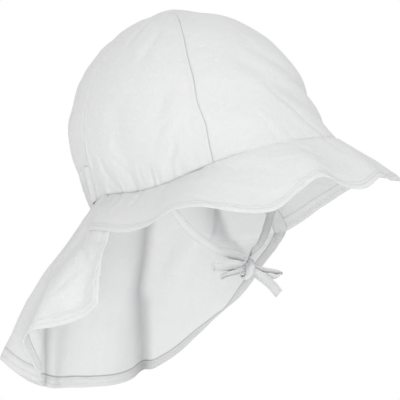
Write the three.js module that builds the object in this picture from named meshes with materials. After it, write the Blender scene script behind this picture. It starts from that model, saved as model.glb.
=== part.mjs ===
// Legionnaire sun hat with a neck flap and chin tapes.
// Millimetres, +Z up, the front of the hat toward -Y, the wearer's right toward -X.
// The origin is the middle of the head opening, level with the mean height of the crown's rim.
import * as THREE from 'three';

// Head opening and crown
const HEAD_HALF_LENGTH = 88;
const HEAD_HALF_WIDTH = 69;
const RIM_RISE = 23.5; // the rim climbs this much to the brow and falls as much to the nape
const EAR_DROP = 9; // extra sag of the rim over each ear
const NAPE_DROP = 6.5; // extra depth of the rim at the gathered band
const CROWN_HEIGHT = 107;

// Brim, flap and gathered band
const BRIM_WIDTH = 48;
const BRIM_END_TOP = 122; // plan angle of the brim's end at the rim
const BRIM_END_HEM = 117; // and at its hem
const FLAP_LENGTH = 134;
const FLAP_START = 97; // plan angle where the flap begins at the rim
const BAND_SHARE = 0.125; // share of the crown's rise that the band takes at the nape
const BAND_START = 138; // plan angle of the band's lower corner
const BAND_LEAN = -10; // how far its end leans back (or, below zero, forward) at the top, degrees

// Cloth
const WALL = 1.4;
const GAP = 0.3;
const GATHER_DEPTH = 0.9;

// Chin tapes and bow
const TAPE_WIDTH = 6;
const TAPE_WALL = 1.2;
const TIE_ANGLE = 84; // plan angle where a tape is sewn to the rim
const KNOT_DROP = 63; // knot below the origin
const KNOT_FORWARD = 28; // knot in front of the origin
const KNOT_SIZE = 7;
const BOW_LOOP = 23;
const BOW_TAIL = 24;

const rad = (degrees) => (degrees * Math.PI) / 180;
const mix = (a, b, t) => a + (b - a) * t;
const clamp = (x, lo, hi) => Math.min(hi, Math.max(lo, x));
const smooth = (x) => { const t = clamp(x, 0, 1); return t * t * (3 - 2 * t); };

// Cubic through the rows of a table sorted by its column `by`, read at x in the column `key`.
function read(rows, by, key, x) {
  const n = rows.length;
  if (x <= rows[0][by]) return rows[0][key];
  if (x >= rows[n - 1][by]) return rows[n - 1][key];
  let i = 0;
  while (x > rows[i + 1][by]) i++;
  const slope = (k) => {
    const a = rows[Math.max(0, k - 1)], b = rows[Math.min(n - 1, k + 1)];
    return (b[key] - a[key]) / (b[by] - a[by]);
  };
  const p = rows[i], q = rows[i + 1], h = q[by] - p[by], t = (x - p[by]) / h;
  const t2 = t * t, t3 = t2 * t;
  return (2 * t3 - 3 * t2 + 1) * p[key] + (t3 - 2 * t2 + t) * h * slope(i) +
    (-2 * t3 + 3 * t2) * q[key] + (t3 - t2) * h * slope(i + 1);
}

// Plan angles run from the front (0) toward the wearer's right (90) to the back (180).
const polar = (angle, radius, z) =>
  new THREE.Vector3(-radius * Math.sin(rad(angle)), -radius * Math.cos(rad(angle)), z);
const rimRadius = (angle) => (HEAD_HALF_LENGTH * HEAD_HALF_WIDTH) /
  Math.hypot(HEAD_HALF_WIDTH * Math.cos(rad(angle)), HEAD_HALF_LENGTH * Math.sin(rad(angle)));
const rimSag = (angle) => EAR_DROP * Math.pow(Math.abs(Math.sin(rad(angle))), 5);
// Plan angle measured from the front on either side, 0 to 180.
const fromFront = (angle) => { const a = Math.abs(angle) % 360; return a > 180 ? 360 - a : a; };
const napeSag = (angle) => NAPE_DROP * smooth((fromFront(angle) - 130) / 18);
const rimHeight = (angle) =>
  (RIM_RISE * rimRadius(angle) * Math.cos(rad(angle))) / HEAD_HALF_LENGTH - rimSag(angle) - napeSag(angle);

// Crown levels from the rim to the top. level: share of the way up. size: share of the head opening.
// back: shift to the back, share of HEAD_HALF_LENGTH. height: share of CROWN_HEIGHT. rise: share of RIM_RISE.
const CROWN_LEVELS = [
  { level: 0.0, size: 1.0, back: 0.0, height: 0.0, rise: 1.0 },
  { level: 0.1, size: 1.012, back: 0.1, height: 0.112, rise: 0.82 },
  { level: 0.2, size: 1.02, back: 0.184, height: 0.229, rise: 0.65 },
  { level: 0.32, size: 0.98, back: 0.25, height: 0.373, rise: 0.5 },
  { level: 0.45, size: 0.898, back: 0.25, height: 0.542, rise: 0.318 },
  { level: 0.57, size: 0.783, back: 0.26, height: 0.682, rise: 0.242 },
  { level: 0.69, size: 0.625, back: 0.274, height: 0.811, rise: 0.197 },
  { level: 0.8, size: 0.428, back: 0.308, height: 0.914, rise: 0.174 },
  { level: 0.9, size: 0.225, back: 0.346, height: 0.972, rise: 0.08 },
  { level: 1.0, size: 0.0, back: 0.395, height: 1.005, rise: 0.0 },
];

// The crown's seams by level: plan angle of the front seam and of the back seam, which runs down into
// the end of the gathered band.
const CROWN_SEAMS = [
  { level: 0.0, front: 55, back: BAND_START },
  { level: BAND_SHARE, front: 51, back: BAND_START + BAND_LEAN },
  { level: 0.2, front: 49, back: 124 },
  { level: 0.3, front: 49, back: 121.5 },
  { level: 0.42, front: 50.5, back: 120.5 },
  { level: 0.56, front: 53, back: 120 },
  { level: 0.72, front: 55, back: 119 },
  { level: 1.0, front: 57, back: 118 },
];
const frontSeam = (level) => read(CROWN_SEAMS, 'level', 'front', level);
const backSeam = (level) => (level < BAND_SHARE
  ? BAND_START + (BAND_LEAN * level) / BAND_SHARE : read(CROWN_SEAMS, 'level', 'back', level));

// Soft folds and dents of the crown: from one plan angle and level to another. wide is in degrees of
// plan angle, deep in shares of WALL (positive pushes out).
const CROWN_FOLDS = [
  { from: 22, low: 0.52, to: -22, high: 0.1, wide: 7, deep: -1.5 },
  { from: 12, low: 0.6, to: -30, high: 0.25, wide: 6, deep: -1.1 },
  { from: 66, low: 0.36, to: 76, high: 0.12, wide: 5, deep: -1.4 },
  { from: 60, low: 0.3, to: 84, high: 0.02, wide: 6, deep: 1.1 },
  { from: 96, low: 0.26, to: 100, high: 0.02, wide: 6, deep: -1.0 },
  { from: -64, low: 0.4, to: -78, high: 0.06, wide: 6, deep: -1.4 },
  { from: -98, low: 0.28, to: -92, high: 0.03, wide: 6, deep: 1.2 },
  { from: 150, low: 0.34, to: 158, high: 0.14, wide: 8, deep: -1.6 },
  { from: -152, low: 0.36, to: -146, high: 0.14, wide: 8, deep: -1.4 },
];

function foldPush(angle, level) {
  let push = 0;
  for (const f of CROWN_FOLDS) {
    const span = f.high - f.low;
    const t = clamp((level - f.low) / span, 0, 1);
    const over = (level - (f.low + t * span)) / 0.08;
    const off = (angle - mix(f.from, f.to, t)) / f.wide;
    push += f.deep * WALL * Math.exp(-off * off - over * over);
  }
  // Gathers rise from the rim, slight over the brow and strong over the ears and the nape.
  const share = 0.15 + 0.85 * smooth((Math.abs(angle) - 35) / 45);
  const wave = Math.sin(rad(angle * 24)) + 0.5 * Math.sin(rad(angle * 15 + 40));
  return push + GATHER_DEPTH * 0.6 * share * wave * Math.exp(-level / 0.09);
}

// Middle of the crown's cloth at a plan angle (-180 to 180) and level.
function crownPoint(angle, level) {
  const at = (key) => read(CROWN_LEVELS, 'level', key, level);
  const size = at('size'), round = smooth(level);
  const a = size * HEAD_HALF_LENGTH, b = size * mix(HEAD_HALF_WIDTH, HEAD_HALF_LENGTH * 0.93, round);
  const c = Math.cos(rad(angle)), s = Math.sin(rad(angle));
  const r = a * b > 0 ? (a * b) / Math.hypot(b * c, a * s) + foldPush(angle, level) * clamp(size * 3, 0, 1) : 0;
  const z = at('height') * CROWN_HEIGHT + at('rise') * RIM_RISE * (a > 0 ? (r * c) / a : 0) -
    rimSag(angle) * Math.pow(1 - clamp(level / 0.4, 0, 1), 2) -
    napeSag(angle) * Math.pow(1 - clamp(level / 0.24, 0, 1), 1.5);
  return new THREE.Vector3(-r * s, -r * c + at('back') * HEAD_HALF_LENGTH, z);
}

// Closed sheet of even thickness round a grid of middle points, point(u, v) with u and v from 0 to 1.
function sheet(name, columns, rows, point, wall = WALL) {
  const mid = [];
  for (let i = 0; i <= columns; i++) {
    mid.push([]);
    for (let j = 0; j <= rows; j++) mid[i].push(point(i / columns, j / rows));
  }
  const front = [], back = [];
  for (let i = 0; i <= columns; i++) {
    for (let j = 0; j <= rows; j++) {
      const du = mid[Math.min(columns, i + 1)][j].clone().sub(mid[Math.max(0, i - 1)][j]);
      const dv = mid[i][Math.min(rows, j + 1)].clone().sub(mid[i][Math.max(0, j - 1)]);
      const n = du.cross(dv).normalize().multiplyScalar(wall / 2);
      front.push(mid[i][j].clone().add(n));
      back.push(mid[i][j].clone().sub(n));
    }
  }
  const points = front.concat(back), size = front.length;
  const id = (i, j) => i * (rows + 1) + j;
  const faces = [];
  const quad = (a, b, c, d) => faces.push(a, b, c, a, c, d);
  for (let i = 0; i < columns; i++)
    for (let j = 0; j < rows; j++) {
      const a = id(i, j), b = id(i + 1, j), c = id(i + 1, j + 1), d = id(i, j + 1);
      quad(a, b, c, d);
      quad(size + d, size + c, size + b, size + a);
    }
  for (let i = 0; i < columns; i++) {
    quad(size + id(i, 0), size + id(i + 1, 0), id(i + 1, 0), id(i, 0));
    quad(id(i, rows), id(i + 1, rows), size + id(i + 1, rows), size + id(i, rows));
  }
  for (let j = 0; j < rows; j++) {
    quad(id(0, j), id(0, j + 1), size + id(0, j + 1), size + id(0, j));
    quad(size + id(columns, j), size + id(columns, j + 1), id(columns, j + 1), id(columns, j));
  }
  return solid(name, points, faces);
}

const group = new THREE.Group();
function solid(name, points, faces) {
  const geometry = new THREE.BufferGeometry();
  geometry.setAttribute('position',
    new THREE.Float32BufferAttribute(points.flatMap((p) => [p.x, p.y, p.z]), 3));
  geometry.setIndex(faces);
  geometry.computeVertexNormals();
  const mesh = new THREE.Mesh(geometry,
    new THREE.MeshStandardMaterial({ color: 0xececee, roughness: 0.9, side: THREE.DoubleSide }));
  mesh.name = name;
  group.add(mesh);
  return mesh;
}

// Crown panels between two seams, each a function of the level. All panels share these levels, so
// that neighbours follow one another along a seam. Half a gap is left along each edge.
const LOW_LEVELS = [0, 0.33, 0.66, 1].map((t) => t * BAND_SHARE);
const HIGH_LEVELS = [0.075, 0.155, 0.245, 0.345, 0.455, 0.57, 0.69, 0.8, 0.9, 0.983]
  .map((t) => mix(BAND_SHARE, 1, t));
function crownPanel(name, fromBand, seamA, seamB, columns) {
  const levels = (fromBand ? [BAND_SHARE] : LOW_LEVELS).concat(HIGH_LEVELS);
  sheet(name, columns, levels.length - 1, (u, v) => {
    const level = levels[Math.round(v * (levels.length - 1))];
    const a = seamA(level), b = seamB(level);
    const width = crownPoint(a, level).distanceTo(crownPoint(b, level));
    const trim = clamp((GAP * 0.6) / Math.max(width, GAP), 0, 0.4);
    return crownPoint(mix(a, b, mix(trim, 1 - trim, u)), level);
  });
}
const minus = (seam) => (level) => -seam(level);
const middle = () => 180, middleLeft = () => -180;
crownPanel('crown_front_panel', false, minus(frontSeam), frontSeam, 20);
crownPanel('crown_side_panel_right', false, frontSeam, backSeam, 15);
crownPanel('crown_side_panel_left', false, minus(backSeam), minus(frontSeam), 15);
crownPanel('crown_back_panel_right', true, backSeam, middle, 9);
crownPanel('crown_back_panel_left', true, middleLeft, minus(backSeam), 9);

// Gathered band at the nape, a little inside the line of the crown.
const BAND_PLEATS = 15;
sheet('back_band', 46, 5, (u, v) => {
  const level = mix(0.002, BAND_SHARE - 0.004, v);
  const start = BAND_START + 0.4 + (BAND_LEAN * level) / BAND_SHARE;
  const angle = mix(start, 360 - start, u);
  const p = crownPoint(angle > 180 ? angle - 360 : angle, level);
  const inward = polar(angle, 1, 0).negate();
  const pleat = Math.sin(u * Math.PI * 2 * BAND_PLEATS) * Math.sin(Math.PI * mix(0.12, 0.88, v));
  const waist = Math.sin(Math.PI * u);
  return p.add(inward.multiplyScalar(WALL * 0.5 * clamp(waist * 3, 0, 1) - GATHER_DEPTH * pleat));
});

// Brim hem. angle: plan angle. reach: how far out from the rim, and drop: how far below it, both as
// shares of BRIM_WIDTH.
const BRIM_HEM = [
  { angle: -118, reach: 0.44, drop: 0.74 },
  { angle: -105, reach: 0.56, drop: 0.76 },
  { angle: -95, reach: 0.67, drop: 0.75 },
  { angle: -88, reach: 0.71, drop: 0.66 },
  { angle: -80, reach: 0.8, drop: 0.5 },
  { angle: -67, reach: 0.94, drop: 0.32 },
  { angle: -58, reach: 0.95, drop: 0.26 },
  { angle: -50, reach: 0.97, drop: 0.34 },
  { angle: -42, reach: 0.95, drop: 0.44 },
  { angle: -35, reach: 0.94, drop: 0.49 },
  { angle: -25, reach: 0.87, drop: 0.5 },
  { angle: -14, reach: 0.79, drop: 0.56 },
  { angle: -5, reach: 0.77, drop: 0.51 },
  { angle: 4, reach: 0.76, drop: 0.65 },
  { angle: 12, reach: 0.72, drop: 0.6 },
  { angle: 20, reach: 0.7, drop: 0.43 },
  { angle: 27, reach: 0.7, drop: 0.56 },
  { angle: 35, reach: 0.74, drop: 0.76 },
  { angle: 42, reach: 0.77, drop: 0.75 },
  { angle: 50, reach: 0.81, drop: 0.64 },
  { angle: 60, reach: 0.81, drop: 0.48 },
  { angle: 70, reach: 0.71, drop: 0.43 },
  { angle: 80, reach: 0.66, drop: 0.55 },
  { angle: 90, reach: 0.6, drop: 0.56 },
  { angle: 100, reach: 0.55, drop: 0.51 },
  { angle: 110, reach: 0.48, drop: 0.48 },
  { angle: 118, reach: 0.42, drop: 0.49 },
];
const BRIM_CROWNING = 0.035; // outward bow of the brim between rim and hem, share of BRIM_WIDTH
const SEAM_OUT = 0.6, SEAM_DOWN = 1.0; // where the brim's cloth starts, beside and below the rim

function brimPoint(angle, v) {
  const out = read(BRIM_HEM, 'angle', 'reach', angle) * BRIM_WIDTH;
  const down = read(BRIM_HEM, 'angle', 'drop', angle) * BRIM_WIDTH;
  const bow = BRIM_CROWNING * BRIM_WIDTH * Math.sin(Math.PI * v);
  const r = rimRadius(angle) + mix(SEAM_OUT, out, v) + (bow * down) / Math.hypot(out, down);
  const z = rimHeight(angle) - mix(SEAM_DOWN, down, v) + (bow * out) / Math.hypot(out, down);
  return polar(angle, r, z);
}
sheet('brim', 84, 6, (u, v) => {
  const end = mix(BRIM_END_TOP, BRIM_END_HEM, v);
  return brimPoint(mix(-end, end, u), v);
});

// Neck flap. Each row is one hanging line of the cloth, from `top` at the rim. turn: plan angle lower
// down, out and drop: distance from the rim's radius and below the rim's height at that plan angle,
// as shares of FLAP_LENGTH. The three tables give the line at the shoulder, halfway and at the hem.
const FLAP_SHOULDER = [
  { top: 97, turn: 102, out: 0.17, drop: 0.2 },
  { top: 110, turn: 111, out: 0.145, drop: 0.2 },
  { top: 122, turn: 122.5, out: 0.12, drop: 0.2 },
  { top: 134, turn: 134, out: 0.11, drop: 0.18 },
  { top: 147, turn: 147, out: 0.11, drop: 0.15 },
  { top: 166, turn: 167, out: 0.105, drop: 0.17 },
  { top: 180, turn: 180, out: 0.11, drop: 0.18 },
  { top: 200, turn: 200, out: 0.115, drop: 0.18 },
  { top: 220, turn: 219, out: 0.12, drop: 0.18 },
  { top: 240, turn: 238, out: 0.145, drop: 0.225 },
  { top: 250, turn: 249, out: 0.155, drop: 0.22 },
  { top: 263, turn: 265, out: 0.19, drop: 0.265 },
];
const FLAP_MIDDLE = [
  { top: 97, turn: 103, out: 0.21, drop: 0.37 },
  { top: 110, turn: 113, out: 0.24, drop: 0.41 },
  { top: 122, turn: 124, out: 0.28, drop: 0.42 },
  { top: 134, turn: 134, out: 0.27, drop: 0.42 },
  { top: 147, turn: 146, out: 0.28, drop: 0.39 },
  { top: 166, turn: 167, out: 0.26, drop: 0.48 },
  { top: 180, turn: 180, out: 0.25, drop: 0.54 },
  { top: 200, turn: 199, out: 0.25, drop: 0.56 },
  { top: 220, turn: 215, out: 0.3, drop: 0.54 },
  { top: 240, turn: 230, out: 0.34, drop: 0.49 },
  { top: 250, turn: 239, out: 0.33, drop: 0.46 },
  { top: 263, turn: 254, out: 0.28, drop: 0.46 },
];
const FLAP_HEM = [
  { top: 97, turn: 104, out: 0.213, drop: 0.53 },
  { top: 104, turn: 110, out: 0.232, drop: 0.586 },
  { top: 110, turn: 115, out: 0.27, drop: 0.617 },
  { top: 116, turn: 120, out: 0.324, drop: 0.64 },
  { top: 122, turn: 125, out: 0.396, drop: 0.662 },
  { top: 128, turn: 129, out: 0.41, drop: 0.74 },
  { top: 134, turn: 133.5, out: 0.32, drop: 0.905 },
  { top: 140, turn: 139.5, out: 0.375, drop: 0.86 },
  { top: 147, turn: 147, out: 0.468, drop: 0.765 },
  { top: 154, turn: 155, out: 0.428, drop: 0.815 },
  { top: 166, turn: 167, out: 0.37, drop: 0.9 },
  { top: 180, turn: 180, out: 0.358, drop: 0.95 },
  { top: 190, turn: 190, out: 0.375, drop: 0.97 },
  { top: 200, turn: 198, out: 0.388, drop: 0.982 },
  { top: 210, turn: 206, out: 0.42, drop: 0.992 },
  { top: 220, turn: 213, out: 0.465, drop: 0.985 },
  { top: 230, turn: 219, out: 0.51, drop: 0.96 },
  { top: 240, turn: 225, out: 0.52, drop: 0.91 },
  { top: 250, turn: 231, out: 0.5, drop: 0.825 },
  { top: 257, turn: 235, out: 0.49, drop: 0.755 },
  { top: 263, turn: 239, out: 0.482, drop: 0.69 },
];
const SHOULDER_AT = 0.3, MIDDLE_AT = 0.6;

// Long soft folds of the flap, each round a hanging line that moves from one value of `top` to another
// between the heights low and high. wide is in degrees, deep in shares of FLAP_LENGTH, out above zero.
const FLAP_FOLDS = [
  { from: 211, low: 0.1, to: 223, high: 1.0, wide: 7, deep: 0.052 },
  { from: 197, low: 0.15, to: 205, high: 1.0, wide: 8, deep: -0.03 },
  { from: 183, low: 0.4, to: 184, high: 1.0, wide: 6, deep: 0.034 },
  { from: 230, low: 0.1, to: 241, high: 1.0, wide: 8, deep: -0.024 },
  { from: 245, low: 0.05, to: 248, high: 0.6, wide: 6, deep: 0.026 },
  { from: 139, low: 0.2, to: 134, high: 1.0, wide: 5, deep: -0.018 },
  { from: 121, low: 0.2, to: 116, high: 0.8, wide: 7, deep: 0.016 },
  { from: 106, low: 0.35, to: 108, high: 0.95, wide: 5, deep: -0.016 },
  { from: 170, low: 0.2, to: 172, high: 1.0, wide: 7, deep: -0.012 },
];
function flapFold(top, v) {
  let push = 0;
  for (const f of FLAP_FOLDS) {
    const t = clamp((v - f.low) / (f.high - f.low), 0, 1);
    const off = (top - mix(f.from, f.to, t)) / f.wide;
    const fade = smooth((v - f.low) / 0.3) * (f.high < 1 ? 1 - smooth((v - f.high + 0.15) / 0.2) : 1);
    push += f.deep * fade * Math.exp(-off * off);
  }
  return push * FLAP_LENGTH;
}

// Keeps a flap point at plan angle `turn` clear of the inner face of the brim's ends.
const FLAP_CLEARANCE = (WALL + GAP + 0.15) * 1.3;
function underBrim(turn, r, z) {
  const around = 180 - Math.abs(180 - turn);
  const angle = turn > 180 ? -around : around;
  const weight = 1 - smooth((around - BRIM_END_TOP - 1.5) / 7);
  if (weight <= 0) return r;
  let lo = 0, hi = 1;
  for (let k = 0; k < 24; k++) {
    const m = (lo + hi) / 2;
    if (brimPoint(angle, m).z > z) lo = m; else hi = m;
  }
  const over = brimPoint(angle, lo);
  const limit = Math.hypot(over.x, over.y) - FLAP_CLEARANCE + Math.max(0, over.z - z) * 1.2;
  return r - weight * Math.max(0, r - limit);
}

function flapPoint(top, v) {
  const line = [{ v: 0, turn: top, r: rimRadius(top) + SEAM_OUT, z: rimHeight(top) - SEAM_DOWN - 0.6 }];
  for (const [at, rows] of [[SHOULDER_AT, FLAP_SHOULDER], [MIDDLE_AT, FLAP_MIDDLE], [1, FLAP_HEM]]) {
    const turn = read(rows, 'top', 'turn', top);
    line.push({
      v: at, turn,
      r: rimRadius(turn) + read(rows, 'top', 'out', top) * FLAP_LENGTH,
      z: rimHeight(turn) - read(rows, 'top', 'drop', top) * FLAP_LENGTH,
    });
  }
  const turn = read(line, 'v', 'turn', v);
  const around = Math.abs(180 - top);
  const under = 1 - smooth((180 - around - BRIM_END_TOP - 1.5) / 7);
  const z = read(line, 'v', 'z', v) - under * 1.4 * Math.max(0, 1 - v * 4);
  return polar(turn, underBrim(turn, read(line, 'v', 'r', v) + flapFold(top, v), z), z);
}
sheet('neck_flap', 66, 11, (u, v) => flapPoint(mix(360 - FLAP_START, FLAP_START, u), v));

// Flat tape along a run of points. `across(t)` is the direction of its width, `pinch(t)` a share of it.
function tape(name, points, across, pieces, pinch = () => 1, width = TAPE_WIDTH, wall = TAPE_WALL) {
  const curve = new THREE.CatmullRomCurve3(points, false, 'centripetal');
  return sheet(name, pieces, 2, (u, v) => {
    const p = curve.getPoint(u), tangent = curve.getTangent(u);
    const side = across(u).clone();
    side.sub(tangent.clone().multiplyScalar(side.dot(tangent))).normalize();
    return p.add(side.multiplyScalar(width * pinch(u) * (v - 0.5)));
  }, wall);
}

const KNOT = new THREE.Vector3(0, -KNOT_FORWARD, -KNOT_DROP);
const V = (x, y, z) => new THREE.Vector3(x, y, z);
// The bow's own directions: `along` from loop to loop, `facing` outward, `raise` up.
const BOW_TURN = -27;
const along = V(Math.cos(rad(BOW_TURN)), Math.sin(rad(BOW_TURN)), 0);
const facing = V(Math.sin(rad(BOW_TURN)), -Math.cos(rad(BOW_TURN)), 0);
const raise = V(0, 0, 1);
const bowPoint = (a, f, r) => KNOT.clone().addScaledVector(along, a).addScaledVector(facing, f)
  .addScaledVector(raise, r);

// How a tie sags between the rim and the knot. at: share of its span. down: share of KNOT_DROP below the
// straight line. back: share of KNOT_SIZE behind it.
const TIE_SAG = [
  { at: 0.03, down: 0.0556, back: 0 },
  { at: 0.28, down: 0.1825, back: 0 },
  { at: 0.6, down: 0.1667, back: 0 },
  { at: 0.85, down: 0.0571, back: 0.314 },
];
for (const [name, side] of [['tie_right', -1], ['tie_left', 1]]) {
  const angle = -side * TIE_ANGLE;
  const inset = 0.15 + TAPE_WALL / 2;
  const start = polar(angle, rimRadius(angle) - inset, rimHeight(angle) - 2.2);
  const end = bowPoint(side * KNOT_SIZE * 0.22, -0.9, KNOT_SIZE * 0.5 + GAP + 1.0);
  const span = end.clone().sub(start);
  const line = TIE_SAG.map(({ at, down, back }) => start.clone().addScaledVector(span, at)
    .add(V(0, 0, -down * KNOT_DROP)).addScaledVector(facing, -back * KNOT_SIZE));
  tape(name, [start, ...line, end],
    (t) => V(0.15 * side, -1, 0).lerp(raise.clone().addScaledVector(facing, 0.4), smooth(t * 1.2) * 0.75), 18,
    (t) => 1 - 0.62 * smooth((t - 0.82) / 0.18));
}

// Knot: a pinched roll of the tape.
{
  const points = [], faces = [], around = 12, rings = 6;
  const shape = (i, j) => {
    const a = (i / around) * 2 * Math.PI, h = j / rings;
    const w = KNOT_SIZE / 2 * Math.pow(Math.sin(Math.PI * mix(0.14, 0.86, h)), 0.6);
    return bowPoint(w * 0.95 * Math.cos(a), w * 0.85 * Math.sin(a), mix(-0.5, 0.5, h) * KNOT_SIZE);
  };
  for (let j = 0; j <= rings; j++) for (let i = 0; i < around; i++) points.push(shape(i, j));
  const low = points.push(bowPoint(0, 0, -KNOT_SIZE / 2)) - 1;
  const high = points.push(bowPoint(0, 0, KNOT_SIZE / 2)) - 1;
  for (let i = 0; i < around; i++) {
    const k = (i + 1) % around;
    for (let j = 0; j < rings; j++) {
      const a = j * around + i, b = j * around + k, c = b + around, d = a + around;
      faces.push(a, c, b, a, d, c);
    }
    faces.push(low, i, k, high, rings * around + k, rings * around + i);
  }
  solid('bow_knot', points, faces);
}

// Loops and tails. `side` is -1 for the wearer's right. Heights and lengths are shares of the loop.
const clear = KNOT_SIZE / 2 + GAP + 0.15;
for (const [name, side, tip, rise] of [
  ['bow_loop_right', -1, 1.0, 0.05], ['bow_loop_left', 1, 1.12, -0.36]]) {
  const L = BOW_LOOP * tip, up = BOW_LOOP * rise, open = 0.11 * BOW_LOOP;
  tape(name, [
    bowPoint(side * clear, 0, 1.0), bowPoint(side * mix(clear, L, 0.4), 1.6, up * 0.4 + open),
    bowPoint(side * L * 0.88, 0.8, up * 0.9 + open), bowPoint(side * L, 0.8, up),
    bowPoint(side * L * 0.88, 0.8, up * 0.9 - open), bowPoint(side * mix(clear, L, 0.4), 1.4, up * 0.4 - open * 0.8),
    bowPoint(side * clear, 0, -1.4),
  ], () => facing.clone().addScaledVector(raise, 0.7 * side).addScaledVector(along, 0.2), 26,
  (t) => 0.4 + 0.6 * smooth(Math.min(t, 1 - t) / 0.3));
}
for (const [name, side, reach, fall, seat] of [
  ['bow_tail_right', -1, 0.95, 0.24, 1.25], ['bow_tail_left', 1, 1.0, 0.78, 0.5]]) {
  const L = BOW_TAIL * reach, down = BOW_TAIL * fall;
  tape(name, [
    bowPoint(side * clear * 0.48, 0.2, -KNOT_SIZE * 0.5 - GAP - seat), bowPoint(side * L * 0.45, 0.2, -down * 0.5 - 3.9),
    bowPoint(side * L, 0.2, -down - 3.2),
  ], () => raise.clone().addScaledVector(along, 0.55 * side).addScaledVector(facing, 0.35), 8,
  (t) => 0.5 + 0.5 * smooth(t / 0.35));
}

export default group;
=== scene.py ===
import math

import bpy
import numpy as np
from mathutils import Matrix, Vector


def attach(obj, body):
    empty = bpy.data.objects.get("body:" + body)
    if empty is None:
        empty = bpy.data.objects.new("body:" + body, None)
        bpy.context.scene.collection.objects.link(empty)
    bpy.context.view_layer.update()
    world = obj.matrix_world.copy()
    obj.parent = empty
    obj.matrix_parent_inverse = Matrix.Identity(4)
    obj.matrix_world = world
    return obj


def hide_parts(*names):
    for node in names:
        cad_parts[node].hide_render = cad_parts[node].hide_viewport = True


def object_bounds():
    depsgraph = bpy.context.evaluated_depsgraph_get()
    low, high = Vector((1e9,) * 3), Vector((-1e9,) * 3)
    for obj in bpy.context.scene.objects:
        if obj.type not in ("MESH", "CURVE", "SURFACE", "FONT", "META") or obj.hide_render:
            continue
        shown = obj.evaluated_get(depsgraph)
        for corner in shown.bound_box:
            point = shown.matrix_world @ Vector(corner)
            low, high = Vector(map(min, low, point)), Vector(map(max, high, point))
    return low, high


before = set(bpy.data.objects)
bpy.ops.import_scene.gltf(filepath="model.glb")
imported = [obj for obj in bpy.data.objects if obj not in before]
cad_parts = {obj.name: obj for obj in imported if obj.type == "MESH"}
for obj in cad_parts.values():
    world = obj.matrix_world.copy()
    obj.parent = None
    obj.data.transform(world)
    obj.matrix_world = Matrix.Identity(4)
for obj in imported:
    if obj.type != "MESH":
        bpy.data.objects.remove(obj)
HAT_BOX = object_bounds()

bl_info = {
    "name": "Legionnaire Sun Hat",
    "version": (1, 0, 0),
    "blender": (4, 5, 0),
    "location": "View3D > Sidebar > Sun Hat",
    "description": "Builds a white cotton sun hat with a wavy brim, a neck flap and chin tapes",
    "category": "Object",
}

MM = 0.001
BODY = "root"


# Tables of the hat's form

def table(columns, *rows):
    """Rows of numbers under named columns."""
    values = np.array(rows, float)
    return {name: values[:, k] for k, name in enumerate(columns.split())}


# The crown from the rim to the top. level: share of the way up. size: share of the head opening.
# back: shift to the back, share of the half length. height: share of the crown's. rise: of the rim's.
CROWN_LEVELS = table(
    "level size back height rise",
    (0.0, 1.0, 0.0, 0.0, 1.0),
    (0.1, 1.012, 0.1, 0.112, 0.82),
    (0.2, 1.02, 0.184, 0.229, 0.65),
    (0.32, 0.98, 0.25, 0.373, 0.5),
    (0.45, 0.898, 0.25, 0.542, 0.318),
    (0.57, 0.783, 0.26, 0.682, 0.242),
    (0.69, 0.625, 0.274, 0.811, 0.197),
    (0.8, 0.428, 0.308, 0.914, 0.174),
    (0.9, 0.225, 0.346, 0.972, 0.08),
    (1.0, 0.0, 0.395, 1.005, 0.0),
)
# The gathered band: share of the crown's levels, plan angle of its ends at the rim, and their lean.
BAND_SHARE, BAND_START, BAND_LEAN = 0.125, 138.0, -10.0
BAND_HIGH, BAND_LONG, BAND_ROWS = 22 * MM, 124 * MM, (5.5 * MM, 11 * MM, 16.5 * MM)
# One degree round the crown's opening, and the way up a crown panel, in mm.
CROWN_DEGREE, CROWN_WAY = 1.36, 155
# Plan angles of the crown's seams, from the front.
CROWN_SEAMS = table(
    "level front back",
    (0.0, 55, BAND_START),
    (BAND_SHARE, 51, BAND_START + BAND_LEAN),
    (0.2, 49, 124),
    (0.3, 49, 121.5),
    (0.42, 50.5, 120.5),
    (0.56, 53, 120),
    (0.72, 55, 119),
    (1.0, 57, 118),
)
# Broad folds of the crown, from one plan angle and level to another. wide: degrees. deep: walls.
CROWN_FOLDS = table(
    "start low end high wide deep",
    (22, 0.52, -22, 0.1, 7, -1.5),
    (12, 0.6, -30, 0.25, 6, -1.1),
    (66, 0.36, 76, 0.12, 5, -0.7),
    (60, 0.3, 84, 0.02, 6, 1.1),
    (96, 0.26, 100, 0.02, 6, -1.0),
    (-64, 0.4, -78, 0.06, 6, -1.4),
    (-98, 0.28, -92, 0.03, 6, 1.2),
    (150, 0.34, 158, 0.14, 8, -1.6),
    (-152, 0.36, -146, 0.14, 8, -1.4),
)
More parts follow.
